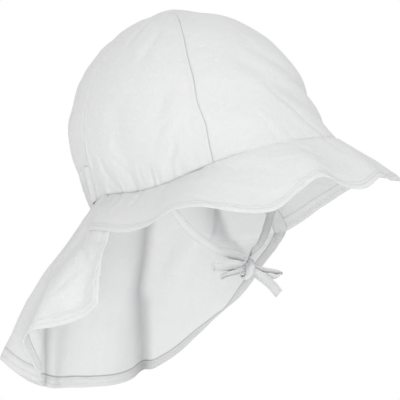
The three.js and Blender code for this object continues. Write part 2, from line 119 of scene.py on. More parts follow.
# Sharper creases of the crown: width and depth in mm, the side that the soft ridge beside it is on, and
# the crease's run in plan angle and level. The brim's and the flap's run in plan angle and share of the
# way from the rim to the hem.
CROWN_CREASES = (
    (2.2, 0.80, 1, ((19, 0.46), (12.5, 0.34), (7, 0.247), (3.5, 0.13), (-0.5, 0.02))),
    (2.0, 0.50, 1, ((13, 0.49), (6, 0.427), (-12, 0.388), (-20, 0.33))),
    (1.6, 0.45, -1, ((28, 0.26), (25.5, 0.22), (23.5, 0.16), (23.5, 0.068), (25, 0.0))),
    (2.2, 0.45, 1, ((52, 0.39), (60.5, 0.29), (68, 0.23), (74.5, 0.18), (78.5, 0.143), (83, 0.04))),
    (1.7, 0.80, -1, ((66, 0.19), (67.5, 0.125), (73, 0.077), (76.5, 0.0))),
    (1.5, 0.40, 1, ((53, 0.29), (57, 0.19), (56, 0.13))),
    (1.6, 0.50, -1, ((111, 0.16), (104.5, 0.118), (100.5, 0.062), (101, 0.0))),
    (2.0, 0.65, 1, ((114, 0.2), (116.5, 0.095), (116, 0.058), (112.5, 0.0))),
    (1.5, 0.40, 1, ((99, 0.25), (102, 0.18), (101, 0.14))),
    (1.5, 0.50, 1, ((91, 0.12), (93, 0.07), (95.5, 0.0))),
    (1.5, 0.50, -1, ((84, 0.1), (86, 0.05), (88, 0.0))),
    (2.0, 0.55, 1, ((118, 0.25), (123, 0.17), (124, 0.1))),
    (1.6, 0.35, 1, ((41, 0.14), (43, 0.06), (46, 0.0))),
    (1.5, 0.35, -1, ((33, 0.1), (37, 0.04), (39.5, 0.0))),
    (1.7, 0.35, 1, ((17.5, 0.14), (17, 0.05), (16, 0.0))),
    (2.4, 0.40, 1, ((44, 0.2), (36.5, 0.265), (30, 0.29))),
    (2.8, 0.70, 1, ((72, 0.83), (75, 0.718), (79, 0.647), (82, 0.58), (84, 0.5))),
    (2.4, 0.60, -1, ((92, 0.9), (96, 0.8), (99, 0.7), (100, 0.62))),
    (4.0, 0.80, 1, ((56, 0.9), (46, 0.83), (34, 0.78))),
    (1.9, 0.30, 1, ((51, 0.62), (44, 0.61), (38, 0.62))),
    (2.2, 0.70, 1, ((-52, 0.4), (-62, 0.29), (-70, 0.2), (-80, 0.1), (-84, 0.0))),
    (1.8, 0.60, -1, ((-66, 0.18), (-69, 0.1), (-72, 0.0))),
    (1.7, 0.50, 1, ((-97, 0.22), (-101, 0.12), (-103, 0.0))),
    (1.6, 0.50, -1, ((-110, 0.18), (-112, 0.08), (-111, 0.0))),
    (1.6, 0.40, 1, ((-34, 0.14), (-38, 0.06), (-40, 0.0))),
    (2.6, 0.60, 1, ((-74, 0.82), (-78, 0.7), (-82, 0.56))),
    (2.6, 0.75, -1, ((136, 0.36), (143, 0.26), (148, 0.16))),
    (2.3, 0.65, 1, ((170, 0.42), (168, 0.28), (171, 0.15))),
    (2.4, 0.65, -1, ((-166, 0.36), (-163, 0.24), (-164, 0.14))),
    (2.2, 0.60, 1, ((-140, 0.33), (-146, 0.22), (-149, 0.14))),
)
# The brim's hem. reach: out from the rim, and drop: below it, both shares of the brim's width.
BRIM_HEM = table(
    "angle reach drop",
    (-118, 0.44, 0.74), (-105, 0.56, 0.76), (-95, 0.67, 0.75), (-88, 0.71, 0.66),
    (-80, 0.8, 0.5), (-67, 0.94, 0.32), (-58, 0.95, 0.26), (-50, 0.97, 0.34),
    (-42, 0.95, 0.44), (-35, 0.94, 0.49), (-25, 0.87, 0.5), (-14, 0.79, 0.56),
    (-5, 0.77, 0.51), (4, 0.76, 0.65), (12, 0.72, 0.6), (20, 0.7, 0.43),
    (27, 0.7, 0.56), (35, 0.74, 0.76), (42, 0.77, 0.75), (50, 0.81, 0.64),
    (60, 0.81, 0.48), (70, 0.71, 0.43), (80, 0.66, 0.55), (90, 0.6, 0.56),
    (100, 0.55, 0.51), (110, 0.48, 0.48), (118, 0.42, 0.49),
)
BRIM_CREASES = (
    (3.0, 0.50, 1, ((42, 0.1), (37, 0.3), (34, 0.6))),
    (2.6, 0.40, -1, ((50, 0.0), (47, 0.2), (45, 0.4))),
    (2.4, 0.40, 1, ((62, 0.0), (61, 0.2), (63, 0.42))),
    (2.6, 0.45, 1, ((78, 0.0), (80, 0.25), (79, 0.5))),
    (2.4, 0.45, -1, ((96, 0.0), (95, 0.3), (97, 0.5))),
    (2.6, 0.55, 1, ((112, 0.0), (110, 0.3), (111, 0.6))),
    (3.0, 0.40, 1, ((22, 0.0), (18, 0.25), (13, 0.5))),
    (2.6, 0.35, -1, ((2, 0.0), (0, 0.3), (-4, 0.55))),
    (2.8, 0.45, 1, ((-22, 0.0), (-24, 0.3), (-27, 0.6))),
    (2.6, 0.45, -1, ((-46, 0.0), (-47, 0.3), (-46, 0.6))),
    (2.6, 0.50, 1, ((-70, 0.0), (-72, 0.3), (-71, 0.6))),
    (2.6, 0.50, -1, ((-92, 0.0), (-91, 0.3), (-93, 0.6))),
    (2.6, 0.55, 1, ((-110, 0.0), (-109, 0.3), (-111, 0.6))),
)
# The flap's hanging lines, each from `top` at the rim: plan angle lower down, and how far out of and
# below the rim there, as shares of the flap's length; at the shoulder, halfway and at the hem.
FLAP_SHOULDER = table(
    "top turn out drop",
    (97, 102, 0.17, 0.2), (110, 111, 0.145, 0.2), (122, 122.5, 0.12, 0.2), (134, 134, 0.11, 0.18),
    (147, 147, 0.11, 0.15), (166, 167, 0.105, 0.17), (180, 180, 0.11, 0.18), (200, 200, 0.115, 0.18),
    (220, 219, 0.12, 0.18), (240, 238, 0.145, 0.225), (250, 249, 0.155, 0.22), (263, 265, 0.19, 0.265),
)
FLAP_MIDDLE = table(
    "top turn out drop",
    (97, 103, 0.21, 0.37), (110, 113, 0.24, 0.41), (122, 124, 0.28, 0.42), (134, 134, 0.27, 0.42),
    (147, 146, 0.28, 0.39), (166, 167, 0.26, 0.48), (180, 180, 0.25, 0.54), (200, 199, 0.25, 0.56),
    (220, 215, 0.3, 0.54), (240, 230, 0.34, 0.49), (250, 239, 0.33, 0.46), (263, 254, 0.28, 0.46),
)
FLAP_HEM = table(
    "top turn out drop",
    (97, 104, 0.213, 0.53), (104, 110, 0.232, 0.586), (110, 115, 0.27, 0.617), (116, 120, 0.324, 0.64),
    (122, 125, 0.396, 0.662), (128, 129, 0.41, 0.74), (134, 133.5, 0.32, 0.905), (140, 139.5, 0.375, 0.86),
    (147, 147, 0.468, 0.765), (154, 155, 0.428, 0.815), (166, 167, 0.37, 0.9), (180, 180, 0.358, 0.95),
    (190, 190, 0.375, 0.97), (200, 198, 0.388, 0.982), (210, 206, 0.42, 0.992), (220, 213, 0.465, 0.985),
    (230, 219, 0.51, 0.96), (240, 225, 0.52, 0.91), (250, 231, 0.5, 0.825), (257, 235, 0.49, 0.755),
    (263, 239, 0.482, 0.69),
)
SHOULDER_AT, MIDDLE_AT = 0.3, 0.6
FLAP_WAY = 150 * MM
# Long folds of the flap between two heights. wide: degrees. deep: shares of the flap's length.
FLAP_FOLDS = table(
    "start low end high wide deep",
    (211, 0.1, 223, 1.0, 7, 0.052),
    (197, 0.15, 205, 1.0, 8, -0.03),
    (183, 0.4, 184, 1.0, 6, 0.034),
    (230, 0.1, 241, 1.0, 8, -0.024),
    (245, 0.05, 248, 0.6, 6, 0.026),
    (139, 0.2, 134, 1.0, 5, -0.018),
    (121, 0.2, 116, 0.8, 7, 0.016),
    (106, 0.35, 108, 0.95, 5, -0.016),
    (170, 0.2, 172, 1.0, 7, -0.012),
)
# Pleats that fall back on one side and stand up sharply on the other: how deep, width of the side that
# falls back, width of the sharp side at the pleat's upper and lower end, all in mm, how much painted
# shade the pleat gets, and the pleat's run in plan angle at the rim and share of the way down.
FLAP_PLEATS = (
    (4.5, 12.0, 3.0, 5.0, 0.55,
     ((204.8, 0.05), (207.6, 0.225), (212, 0.42), (214.2, 0.545), (217.4, 0.63), (225, 1.0))),
    (4.5, 8.0, 3.0, 5.0, 0.4, ((166, 0.5), (169, 0.7), (171, 0.78), (175.5, 0.93), (176.5, 1.0))),
    (3.5, 15.0, 4.5, 5.0, 0.5,
     ((234.5, 0.0), (238, 0.185), (242, 0.32), (246.5, 0.41), (252.5, 0.5), (256, 0.6))),
)
FLAP_CREASES = (
    (2.0, 0.70, 1, ((127, 0.12), (125, 0.265), (122, 0.325), (117.2, 0.38), (111, 0.435), (105, 0.525),
                    (101, 0.62))),
    (2.6, 0.60, -1, ((133, 0.4), (131.8, 0.485), (130, 0.6), (131, 0.75))),
    (2.6, 0.50, 1, ((112, 0.5), (115, 0.62), (120, 0.74))),
    (2.4, 0.50, -1, ((146, 0.0), (147, 0.12), (149, 0.3))),
    (2.4, 0.50, 1, ((158, 0.0), (159, 0.15), (161, 0.34))),
    (2.4, 0.55, -1, ((172, 0.0), (172, 0.12), (174, 0.3))),
    (2.4, 0.50, 1, ((187, 0.0), (188, 0.12), (188, 0.3))),
    (2.4, 0.50, -1, ((196, 0.0), (197, 0.1), (199, 0.24))),
    (3.0, 0.50, 1, ((192, 0.45), (196, 0.65), (199, 0.88))),
    (3.0, 0.40, -1, ((235, 0.6), (240, 0.75), (243, 0.92))),
)


def read(rows, by, key, x):
    """A table's column `key` at x of its column `by`, on a cubic through the rows."""
    at, value, x = rows[by], rows[key], np.asarray(x, float)
    slope = np.empty(len(at))
    slope[1:-1] = (value[2:] - value[:-2]) / (at[2:] - at[:-2])
    slope[0] = (value[1] - value[0]) / (at[1] - at[0])
    slope[-1] = (value[-1] - value[-2]) / (at[-1] - at[-2])
    x = np.clip(x, at[0], at[-1])
    i = np.clip(np.searchsorted(at, x, side="right") - 1, 0, len(at) - 2)
    h = at[i + 1] - at[i]
    t = (x - at[i]) / h
    return cubic(t, value[i], value[i + 1], h * slope[i], h * slope[i + 1])


def crown_at(column, level):
    return read(CROWN_LEVELS, "level", column, level)


def cubic(t, a, b, out_a, in_b):
    """From a to b on a cubic that leaves a and comes into b with the given slopes."""
    t2, t3 = t * t, t * t * t
    return (2 * t3 - 3 * t2 + 1) * a + (t3 - 2 * t2 + t) * out_a + (3 * t2 - 2 * t3) * b + (t3 - t2) * in_b


def smooth(x):
    t = np.clip(x, 0, 1)
    return t * t * (3 - 2 * t)


def pick(rows, n):
    """For each point, its own row of the stack."""
    return np.take_along_axis(rows, n[None], 0)[0]


def mix(a, b, t):
    return a + (b - a) * t


def bump(distance, width):
    return np.exp(-((distance / width) ** 2))


def from_front(angle):
    """Plan angle counted from the front, whichever side it is on."""
    return 180 - np.abs(180 - angle)


def unit(v):
    return v / np.maximum(np.linalg.norm(v, axis=-1, keepdims=True), 1e-12)


def rumple(x, y, seed, step):
    """Soft seeded unevenness of cloth, about -1 to 1, with lumps `step` across."""
    grid = np.random.default_rng(seed).standard_normal((97, 97))
    x, y = x / step, y / step
    i, j = np.floor(x).astype(int), np.floor(y).astype(int)
    fx, fy = smooth(x - i), smooth(y - j)
    i, j = i % 96, j % 96
    low = mix(grid[i, j], grid[i + 1, j], fx)
    return mix(low, mix(grid[i, j + 1], grid[i + 1, j + 1], fx), fy) * 0.6


def creases(rows, x, y, x_scale, y_scale):
    """How far creases push the cloth out, in metres. x and y are a sheet's own coordinates, and
    x_scale, at a y, and y_scale turn them into metres."""
    push = np.zeros(np.broadcast(x, y).shape)
    for wide, deep, side, run in rows:
        run = np.array(run, float)
        px, py = run[:, 0], run[:, 1]
        cx = x_scale(py.mean())
        best = np.full(push.shape, 1e9)
        signed, along = np.zeros(push.shape), np.zeros(push.shape)
        for k in range(len(run) - 1):
            ax, ay = (x - px[k]) * cx, (y - py[k]) * y_scale
            bx, by = (px[k + 1] - px[k]) * cx, (py[k + 1] - py[k]) * y_scale
            t = np.clip((ax * bx + ay * by) / (bx * bx + by * by), 0, 1)
            d = np.hypot(ax - t * bx, ay - t * by)
            turn = np.sign(bx * ay - by * ax)
            near = d < best
            best = np.where(near, d, best)
            signed = np.where(near, turn * d, signed)
            along = np.where(near, (k + t) / (len(run) - 1), along)
        to_edge = min(py[0], py[-1]) <= 0.02 or max(py[0], py[-1]) >= 0.98
        ends = smooth(along / 0.35) * (1 if to_edge else smooth((1 - along) / 0.35))
        if py[0] <= 0.02 and py[-1] > 0.02:
            ends = smooth((1 - along) / 0.4)
        ridge = 0.6 * bump(signed - side * 2.1 * wide * MM, 1.5 * wide * MM)
        push += deep * MM * ends * (ridge - bump(best, wide * MM))
    return push


def pleats(rows, x, y, x_scale):
    """How far pleats push the cloth out, in metres, and how much painted shade lies in them."""
    push = np.zeros(np.broadcast(x, y).shape)
    dark = np.zeros(push.shape)
    for deep, back, sharp_top, sharp_low, shade, run in rows:
        run = np.array(run, float)
        at = np.interp(y, run[:, 1], run[:, 0])
        along = np.clip((y - run[0, 1]) / (run[-1, 1] - run[0, 1]), 0, 1)
        off = (x - at) * x_scale(y) / MM
        sharp = mix(sharp_top, sharp_low, along)
        shape = np.where(off < 0, np.exp(-np.abs(off / back) ** 1.4), np.exp(-(off / sharp) ** 2))
        over = smooth((y - run[0, 1]) / 0.16)
        if run[-1, 1] < 0.98:
            over = over * (1 - smooth((y - run[-1, 1] + 0.24) / 0.34))
        push += deep * MM * over * shape
        dark = np.maximum(dark, shade * over * shape ** 1.6)
    return push, dark


class HatForm:
    """Places every point of the hat's cloth from the hat's sizes. Plan angles run from the front, 0,
    past the wearer's right, 90, to the back, 180."""

    def __init__(self, s):
        self.long, self.wide = s.head_half_length, s.head_half_width
        self.rise, self.ear, self.nape = s.rim_rise, s.ear_drop, s.nape_drop
        self.crown, self.brim, self.flap = s.crown_height, s.brim_width, s.flap_length
        self.wall, self.gather = s.wall, s.gather_depth
        # Plan angles of the brim's ends at the rim and at the hem, and of the flap's front edge.
        self.brim_end_top, self.brim_end_hem, self.flap_start = 122.0, 117.0, 97.0
        # The seam's place beside the rim, and the room between the flap and the brim's ends.
        self.seam_out, self.seam_down = -0.2 * MM, -0.25 * MM
        self.clear = 1.3 * MM

    def rim_radius(self, angle):
        c, s = np.cos(np.radians(angle)), np.sin(np.radians(angle))
        return self.long * self.wide / np.hypot(self.wide * c, self.long * s)

    def rim_sag(self, angle):
        return self.ear * np.abs(np.sin(np.radians(angle))) ** 5

    def nape_sag(self, angle):
        around = np.abs(angle) % 360
        around = np.where(around > 180, 360 - around, around)
        return self.nape * smooth((around - 130) / 18)

    def rim_height(self, angle):
        lean = self.rise * self.rim_radius(angle) * np.cos(np.radians(angle)) / self.long
        return lean - self.rim_sag(angle) - self.nape_sag(angle)

    def polar(self, angle, radius, z):
        a = np.radians(angle)
        return np.stack(np.broadcast_arrays(-radius * np.sin(a), -radius * np.cos(a), z), -1)

    def front_seam(self, level):
        return read(CROWN_SEAMS, "level", "front", level)

    def back_seam(self, level):
        low = BAND_START + BAND_LEAN * level / BAND_SHARE
        return np.where(level < BAND_SHARE, low, read(CROWN_SEAMS, "level", "back", level))

    def crown_push(self, angle, level):
        push = np.zeros(np.broadcast(angle, level).shape)
        f = CROWN_FOLDS
        for k in range(len(f["start"])):
            span = f["high"][k] - f["low"][k]
            t = np.clip((level - f["low"][k]) / span, 0, 1)
            over = (level - (f["low"][k] + t * span)) / 0.08
            off = (angle - mix(f["start"][k], f["end"][k], t)) / f["wide"][k]
            push += f["deep"][k] * self.wall * np.exp(-off * off - over * over)
        share = 0.15 + 0.85 * smooth((np.abs(angle) - 35) / 45)
        wave = np.sin(np.radians(angle * 24)) + 0.5 * np.sin(np.radians(angle * 15 + 40))
        return push + self.gather * 0.6 * share * wave * np.exp(-level / 0.09)

    def crown_point(self, angle, level):
        angle, level = np.broadcast_arrays(np.asarray(angle, float), np.asarray(level, float))
        size = crown_at("size", level)
        a = size * self.long
        b = size * mix(self.wide, self.long * 0.93, smooth(level))
        c, s = np.cos(np.radians(angle)), np.sin(np.radians(angle))
        r = a * b / np.maximum(np.hypot(b * c, a * s), 1e-9)
        r = r + self.crown_push(angle, level) * np.clip(size * 3, 0, 1)
        lean = crown_at("rise", level) * self.rise * r * c / np.maximum(a, 1e-6)
        z = (
            crown_at("height", level) * self.crown
            + np.where(a > 1e-6, lean, 0)
            - self.rim_sag(angle) * (1 - np.clip(level / 0.4, 0, 1)) ** 2
            - self.nape_sag(angle) * (1 - np.clip(level / 0.24, 0, 1)) ** 1.5
        )
        back = crown_at("back", level) * self.long
        return np.stack([-r * s, -r * c + back, z], -1)

    def brim_point(self, angle, v):
        out = read(BRIM_HEM, "angle", "reach", angle) * self.brim
        down = read(BRIM_HEM, "angle", "drop", angle) * self.brim
        bow = 0.035 * self.brim * np.sin(np.pi * v)
        slant = np.hypot(out, down)
        r = self.rim_radius(angle) + mix(self.seam_out, out, v) + bow * down / slant
        r = r + self.crown_push(angle, 0.0) * (1 - smooth(v / 0.15))
        z = self.rim_height(angle) - mix(self.seam_down, down, v) + bow * out / slant
        return self.polar(angle, r, z)

    def flap_fold(self, top, v):
        push = np.zeros(np.broadcast(top, v).shape)
        f = FLAP_FOLDS
        for k in range(len(f["start"])):
            low, high = f["low"][k], f["high"][k]
            t = np.clip((v - low) / (high - low), 0, 1)
            off = (top - mix(f["start"][k], f["end"][k], t)) / f["wide"][k]
            fade = smooth((v - low) / 0.3) * (1 - smooth((v - high + 0.15) / 0.2) if high < 1 else 1)
            push += f["deep"][k] * fade * np.exp(-off * off)
        return push * self.flap

    def under_brim(self, turn, r, z):
        """Keeps a flap point's radius clear of the inner face of the brim's ends."""
        around = from_front(turn)
        angle = np.where(turn > 180, -around, around)
        weight = 1 - smooth((around - self.brim_end_top - 1.5) / 7)
        lo, hi = np.zeros_like(r), np.ones_like(r)
        for _ in range(16):
            m = (lo + hi) / 2
            above = self.brim_point(angle, m)[..., 2] > z
            lo, hi = np.where(above, m, lo), np.where(above, hi, m)
        over = self.brim_point(angle, lo)
        limit = np.hypot(over[..., 0], over[..., 1]) - self.clear
        limit = limit + np.maximum(0, over[..., 2] - z) * 1.2
        return r - weight * np.maximum(0, r - limit)

    def flap_point(self, top, v):
        top, v = np.broadcast_arrays(np.asarray(top, float), np.asarray(v, float))
        # At the nape the flap's top edge goes up behind the band's lower edge.
        tucked = smooth((from_front(top) - 117) / 5) * MM
        rows = [(0.0, top, self.rim_radius(top) + self.seam_out - 1.3 * tucked,
                 self.rim_height(top) - self.seam_down - 1.2 * MM + 2.9 * tucked)]
        for at, t in ((SHOULDER_AT, FLAP_SHOULDER), (MIDDLE_AT, FLAP_MIDDLE), (1.0, FLAP_HEM)):
            turn = read(t, "top", "turn", top)
            rows.append((at, turn,
                         self.rim_radius(turn) + read(t, "top", "out", top) * self.flap,
                         self.rim_height(turn) - read(t, "top", "drop", top) * self.flap))
        at = np.array([q[0] for q in rows])
        i = np.clip(np.searchsorted(at, v, side="right") - 1, 0, 2)
        h = at[i + 1] - at[i]
        t = (v - at[i]) / h
        line = []
        for k in (1, 2, 3):
            y = np.stack([q[k] for q in rows])
            slope = np.stack([(y[1] - y[0]) / at[1], (y[2] - y[0]) / at[2],
                              (y[3] - y[1]) / (at[3] - at[1]), (y[3] - y[2]) / (at[3] - at[2])])
            line.append(cubic(t, pick(y, i), pick(y, i + 1), h * pick(slope, i), h * pick(slope, i + 1)))
        turn, r, z = line
        under = 1 - smooth((from_front(top) - self.brim_end_top - 1.5) / 7)
        z = z - under * 0.6 * MM * np.maximum(0, 1 - v * 4)
        r = r + self.flap_fold(top, v)
        # The flap lies against the hem of the brim's end and falls free below it.
        around = from_front(turn)
        side = np.where(turn > 180, -1.0, 1.0)
        hem = self.brim_point(side * np.minimum(around, self.brim_end_hem), np.ones_like(r))
        below = hem[..., 2] - z
        near = np.exp(-(np.maximum(below, -0.35 * below) / (13 * MM)) ** 2)
        near = near * (1 - smooth((around - 112) / 16))
        lift = np.maximum(0, np.hypot(hem[..., 0], hem[..., 1]) - 0.9 * MM - r)
        r = r + near * lift
        turn = turn - side * near * 1.65 * (1 - smooth((around - 104) / 12))
        return self.polar(turn, self.under_brim(turn, r, z), z)


# Cloth meshes

class Cloth:
    """A closed sheet of cloth round a grid of points, with the distances from its four edges."""

    def __init__(self, middle, turned=False):
        """turned is for a grid that runs the other way round, so that outer is still outside."""
        self.middle, self.turned = middle, turned
        self.find_normals()
        step_u = np.linalg.norm(np.diff(middle, axis=0), axis=-1)
        step_v = np.linalg.norm(np.diff(middle, axis=1), axis=-1)
        self.left = np.concatenate([np.zeros((1, middle.shape[1])), np.cumsum(step_u, 0)], 0)
        self.top = np.concatenate([np.zeros((middle.shape[0], 1)), np.cumsum(step_v, 1)], 1)
        self.right = self.left[-1:] - self.left
        self.bottom = self.top[:, -1:] - self.top

    def find_normals(self):
        """Finds which way is outside at each point."""
        du, dv = np.gradient(self.middle, axis=0), np.gradient(self.middle, axis=1)
        self.normal = unit(np.cross(du, dv)) * (-1 if self.turned else 1)

    def dress(self, push, outer, inner, shade=0.0, inner_shade=None):
        """Moves the middle by push and gives it an outer and an inner thickness, all in metres. shade and
        inner_shade are painted shade on the outer and the inner face.
        """
        edge = np.minimum(np.minimum(self.left, self.right), np.minimum(self.top, self.bottom))
        roll = np.sqrt(1 - (1 - np.clip(edge / (0.8 * MM), 0, 1)) ** 2) * 0.75 + 0.25
        roll = roll * mix(0.62, 1.0, smooth(edge / (3 * MM)))
        faces = (shade, shade if inner_shade is None else inner_shade)
        self.shade = np.concatenate([np.clip(k + np.zeros(edge.shape), 0, 1).ravel() for k in faces])
        self.middle = self.middle + self.normal * np.asarray(push)[..., None]
        self.find_normals()
        self.outer = self.middle + self.normal * (outer * roll)[..., None]
        self.inner = self.middle - self.normal * (inner * roll)[..., None]
        return self

    def shell(self):
        """Points, faces, cloth coordinates and painted shade of the closed sheet."""
        nu, nv = self.middle.shape[:2]
        points = np.concatenate([self.outer.reshape(-1, 3), self.inner.reshape(-1, 3)])
        index = np.arange(nu * nv).reshape(nu, nv)
        a, b, c, d = index[:-1, :-1], index[1:, :-1], index[1:, 1:], index[:-1, 1:]
        faces = [np.stack([a, b, c, d], -1).reshape(-1, 4)]
        faces.append(faces[0][:, ::-1] + nu * nv)
        rim = np.concatenate([index[:, 0], index[-1, 1:], index[-2::-1, -1], index[0, -2:0:-1]])
        nxt = np.roll(rim, -1)
        faces.append(np.stack([rim + nu * nv, nxt + nu * nv, nxt, rim], -1))
        uv = np.stack([self.left / MM, self.top / MM], -1).reshape(-1, 2)
        faces = np.concatenate(faces)
        return points, faces[:, ::-1] if self.turned else faces, np.concatenate([uv, uv]), self.shade

    def row(self, edge, distance, face="outer", lift=0.1 * MM):
        """A line on the cloth at a distance from its left, right, top or bottom edge."""
        away = getattr(self, edge)
        on = getattr(self, face) + self.normal * (lift if face == "outer" else -lift)
        if edge in ("left", "right"):
            away, on = away.T, on.transpose(1, 0, 2)
        line = []
        for d, p in zip(away, on):
            order = np.argsort(d)
            line.append([np.interp(distance, d[order], p[order, k]) for k in range(3)])
        return np.array(line)


def spaced(length, count, first=(), last=()):
    """Shares from 0 to 1 of a length, at fixed distances near its ends and evenly between them."""
    length = np.asarray(length, float)[..., None]
    head = np.array((0.0,) + tuple(first)) * MM / length
    tail = 1 - np.array(tuple(last)[::-1] + (0.0,)) * MM / length
    even = np.linspace(0, 1, count + 2)[1:-1]
    return np.concatenate([head, mix(head[..., -1:], tail[..., :1], even), tail], -1)


def by_length(point, across, shares):
    """Turns shares of each hanging line's length into its own parameter."""
    fine = np.linspace(0, 1, 121)
    p = point(across[:, None], fine[None, :])
    arc = np.concatenate([np.zeros((len(across), 1)),
                          np.cumsum(np.linalg.norm(np.diff(p, axis=1), axis=-1), 1)], 1)
    return np.stack([np.interp(s * a[-1], a, fine) for s, a in zip(shares, arc)])


def joined(name, shells):
    """One object from several closed shells."""
    starts = np.cumsum([0] + [len(shell[0]) for shell in shells[:-1]])
    faces = np.concatenate([shell[1] + start for shell, start in zip(shells, starts)])
    points, uv, shade = (np.concatenate([shell[k] for shell in shells]) for k in (0, 2, 3))
    return cloth_object(name, points, faces, uv, shade)


def cloth_object(name, points, faces, uv, shade):
    """A smooth mesh of four-sided faces, with its cloth coordinates and its painted shade."""
    mesh = bpy.data.meshes.new(name)
    mesh.vertices.add(len(points))
    mesh.vertices.foreach_set("co", np.ascontiguousarray(points, np.float32).ravel())
    mesh.loops.add(faces.size)
    mesh.loops.foreach_set("vertex_index", np.ascontiguousarray(faces, np.int32).ravel())
    mesh.polygons.add(len(faces))
    mesh.polygons.foreach_set("loop_start", np.arange(len(faces), dtype=np.int32) * 4)
    mesh.polygons.foreach_set("use_smooth", np.ones(len(faces), bool))
    mesh.update(calc_edges=True)
    mesh.validate()
    # Painted shade: how much the cloth's colour is darkened in seams, folds, pleats and undersides.
    depth = mesh.attributes.new("seam_shade", "FLOAT", "POINT")
    depth.data.foreach_set("value", np.ascontiguousarray(shade, np.float32))
    layer = mesh.uv_layers.new(name="cloth")
    corner = np.empty(len(mesh.loops), np.int32)
    mesh.loops.foreach_get("vertex_index", corner)
    layer.data.foreach_set("uv", np.ascontiguousarray(uv[corner], np.float32).ravel())
    return in_scene(name, mesh)


def in_scene(name, data):
    obj = bpy.data.objects.new(name, data)
    bpy.context.scene.collection.objects.link(obj)
    return obj


def finish_piece(obj, material, slot, *nodes):
    """Gives a piece its material and its place in the frame."""
    obj.data.materials.clear()
    obj.data.materials.append(material)
    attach(obj, BODY)
    if nodes:
        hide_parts(*nodes)


def finish_cloth(cloth, name, node):
    """Makes a sheet of the hat's white cotton."""
    obj = cloth_object(name, *cloth.shell())
    finish_piece(obj, finishes()[0], "cotton_cloth", node)
    declare_sheet(cloth)


def declare_sheet(cloth):
    """Works out how large the flat cloth was, but keeps the numbers nowhere."""
    width = float(np.max(cloth.left[-1]))
    length = float(np.max(cloth.top[:, -1]))
    a = cloth.middle[1:, :-1] - cloth.middle[:-1, :-1]
    b = cloth.middle[:-1, 1:] - cloth.middle[:-1, :-1]
    area = float(np.linalg.norm(np.cross(a, b), axis=-1).sum())
    area = min(max(area, 0.31 * width * length), width * length)


# Materials

def group_tree(name, kind, inputs, outputs):
    """A node group with named inputs and outputs."""
    tree = bpy.data.node_groups.new(name, kind)
    for label, socket_type, default in inputs:
        socket = tree.interface.new_socket(name=label, in_out="INPUT", socket_type="NodeSocket" + socket_type)
        if default is not None:
            socket.default_value = default
    for label, socket_type in outputs:
        tree.interface.new_socket(name=label, in_out="OUTPUT", socket_type="NodeSocket" + socket_type)
    return tree, tree.nodes.new("NodeGroupInput").outputs, tree.nodes.new("NodeGroupOutput").inputs


def feed(tree, node, inputs):
    """Sets a node's inputs to values, or links them to other nodes' outputs."""
    for name, value in inputs.items():
        if isinstance(value, bpy.types.NodeSocket):
            tree.links.new(value, node.inputs[name])
        else:
            node.inputs[name].default_value = value
    return node


def add_node(tree, kind, inputs, **settings):
    """A new node with its settings and inputs. Gives back its outputs."""
    node = tree.nodes.new(kind)
    for name, value in settings.items():
        setattr(node, name, value)
    return feed(tree, node, inputs).outputs


def weave_group():
    """Plain weave read along the cloth's own UV map: thread height and a faint slub tone."""
    tree, source, out = group_tree(
        "plain_weave", "ShaderNodeTree",
        [("Thread Pitch", "Float", 0.36), ("Slub", "Float", 0.5)], [("Height", "Float"), ("Tone", "Float")],
    )

    def sum_of(operation, a, b=0.5):
        return add_node(tree, "ShaderNodeMath", {0: a, 1: b}, operation=operation)[0]

    uv = add_node(tree, "ShaderNodeUVMap", {}, uv_map="cloth")["UV"]
    parts = add_node(tree, "ShaderNodeSeparateXYZ", {0: uv})
    turn = sum_of("DIVIDE", math.pi, source["Thread Pitch"])
    warp = sum_of("SINE", sum_of("MULTIPLY", parts["X"], turn))
    weft = sum_of("SINE", sum_of("MULTIPLY", parts["Y"], turn))
    threads = sum_of("ADD", sum_of("ABSOLUTE", warp), sum_of("ABSOLUTE", weft))
    over = sum_of("MULTIPLY", sum_of("MULTIPLY", warp, weft), 0.5)
    tree.links.new(sum_of("ADD", over, sum_of("MULTIPLY", threads, 0.25)), out["Height"])
    stretch = add_node(tree, "ShaderNodeMapping", {"Scale": (0.09, 1.6, 1.0), "Vector": uv})[0]
    slub = add_node(tree, "ShaderNodeTexNoise", {"Scale": 1.0, "Detail": 2.0, "Vector": stretch})[0]
    tree.links.new(sum_of("MULTIPLY", sum_of("SUBTRACT", slub, 0.5), source["Slub"]), out["Tone"])
    return tree


def handling_group():
    """Soft uneven tone and tiny wrinkles that washed cotton keeps, read on the hat's own place."""
    tree, source, out = group_tree(
        "washed_cotton", "ShaderNodeTree",
        [("Wrinkle Size", "Float", 240.0), ("Patch Size", "Float", 28.0)],
        [("Height", "Float"), ("Patch", "Float")],
    )
    place = add_node(tree, "ShaderNodeTexCoord", {})["Object"]
    wrinkle = add_node(tree, "ShaderNodeTexNoise", {
        "Vector": place, "Scale": source["Wrinkle Size"], "Detail": 4.0, "Roughness": 0.55,
        "Distortion": 0.6})
    patch = add_node(tree, "ShaderNodeTexNoise", {
        "Vector": place, "Scale": source["Patch Size"], "Detail": 2.0})
    tree.links.new(wrinkle[0], out["Height"])
    tree.links.new(patch[0], out["Patch"])
    return tree


def new_material(name):
    material = bpy.data.materials.new(name)
    material.use_nodes = True
    return material, material.node_tree, material.node_tree.nodes["Principled BSDF"]


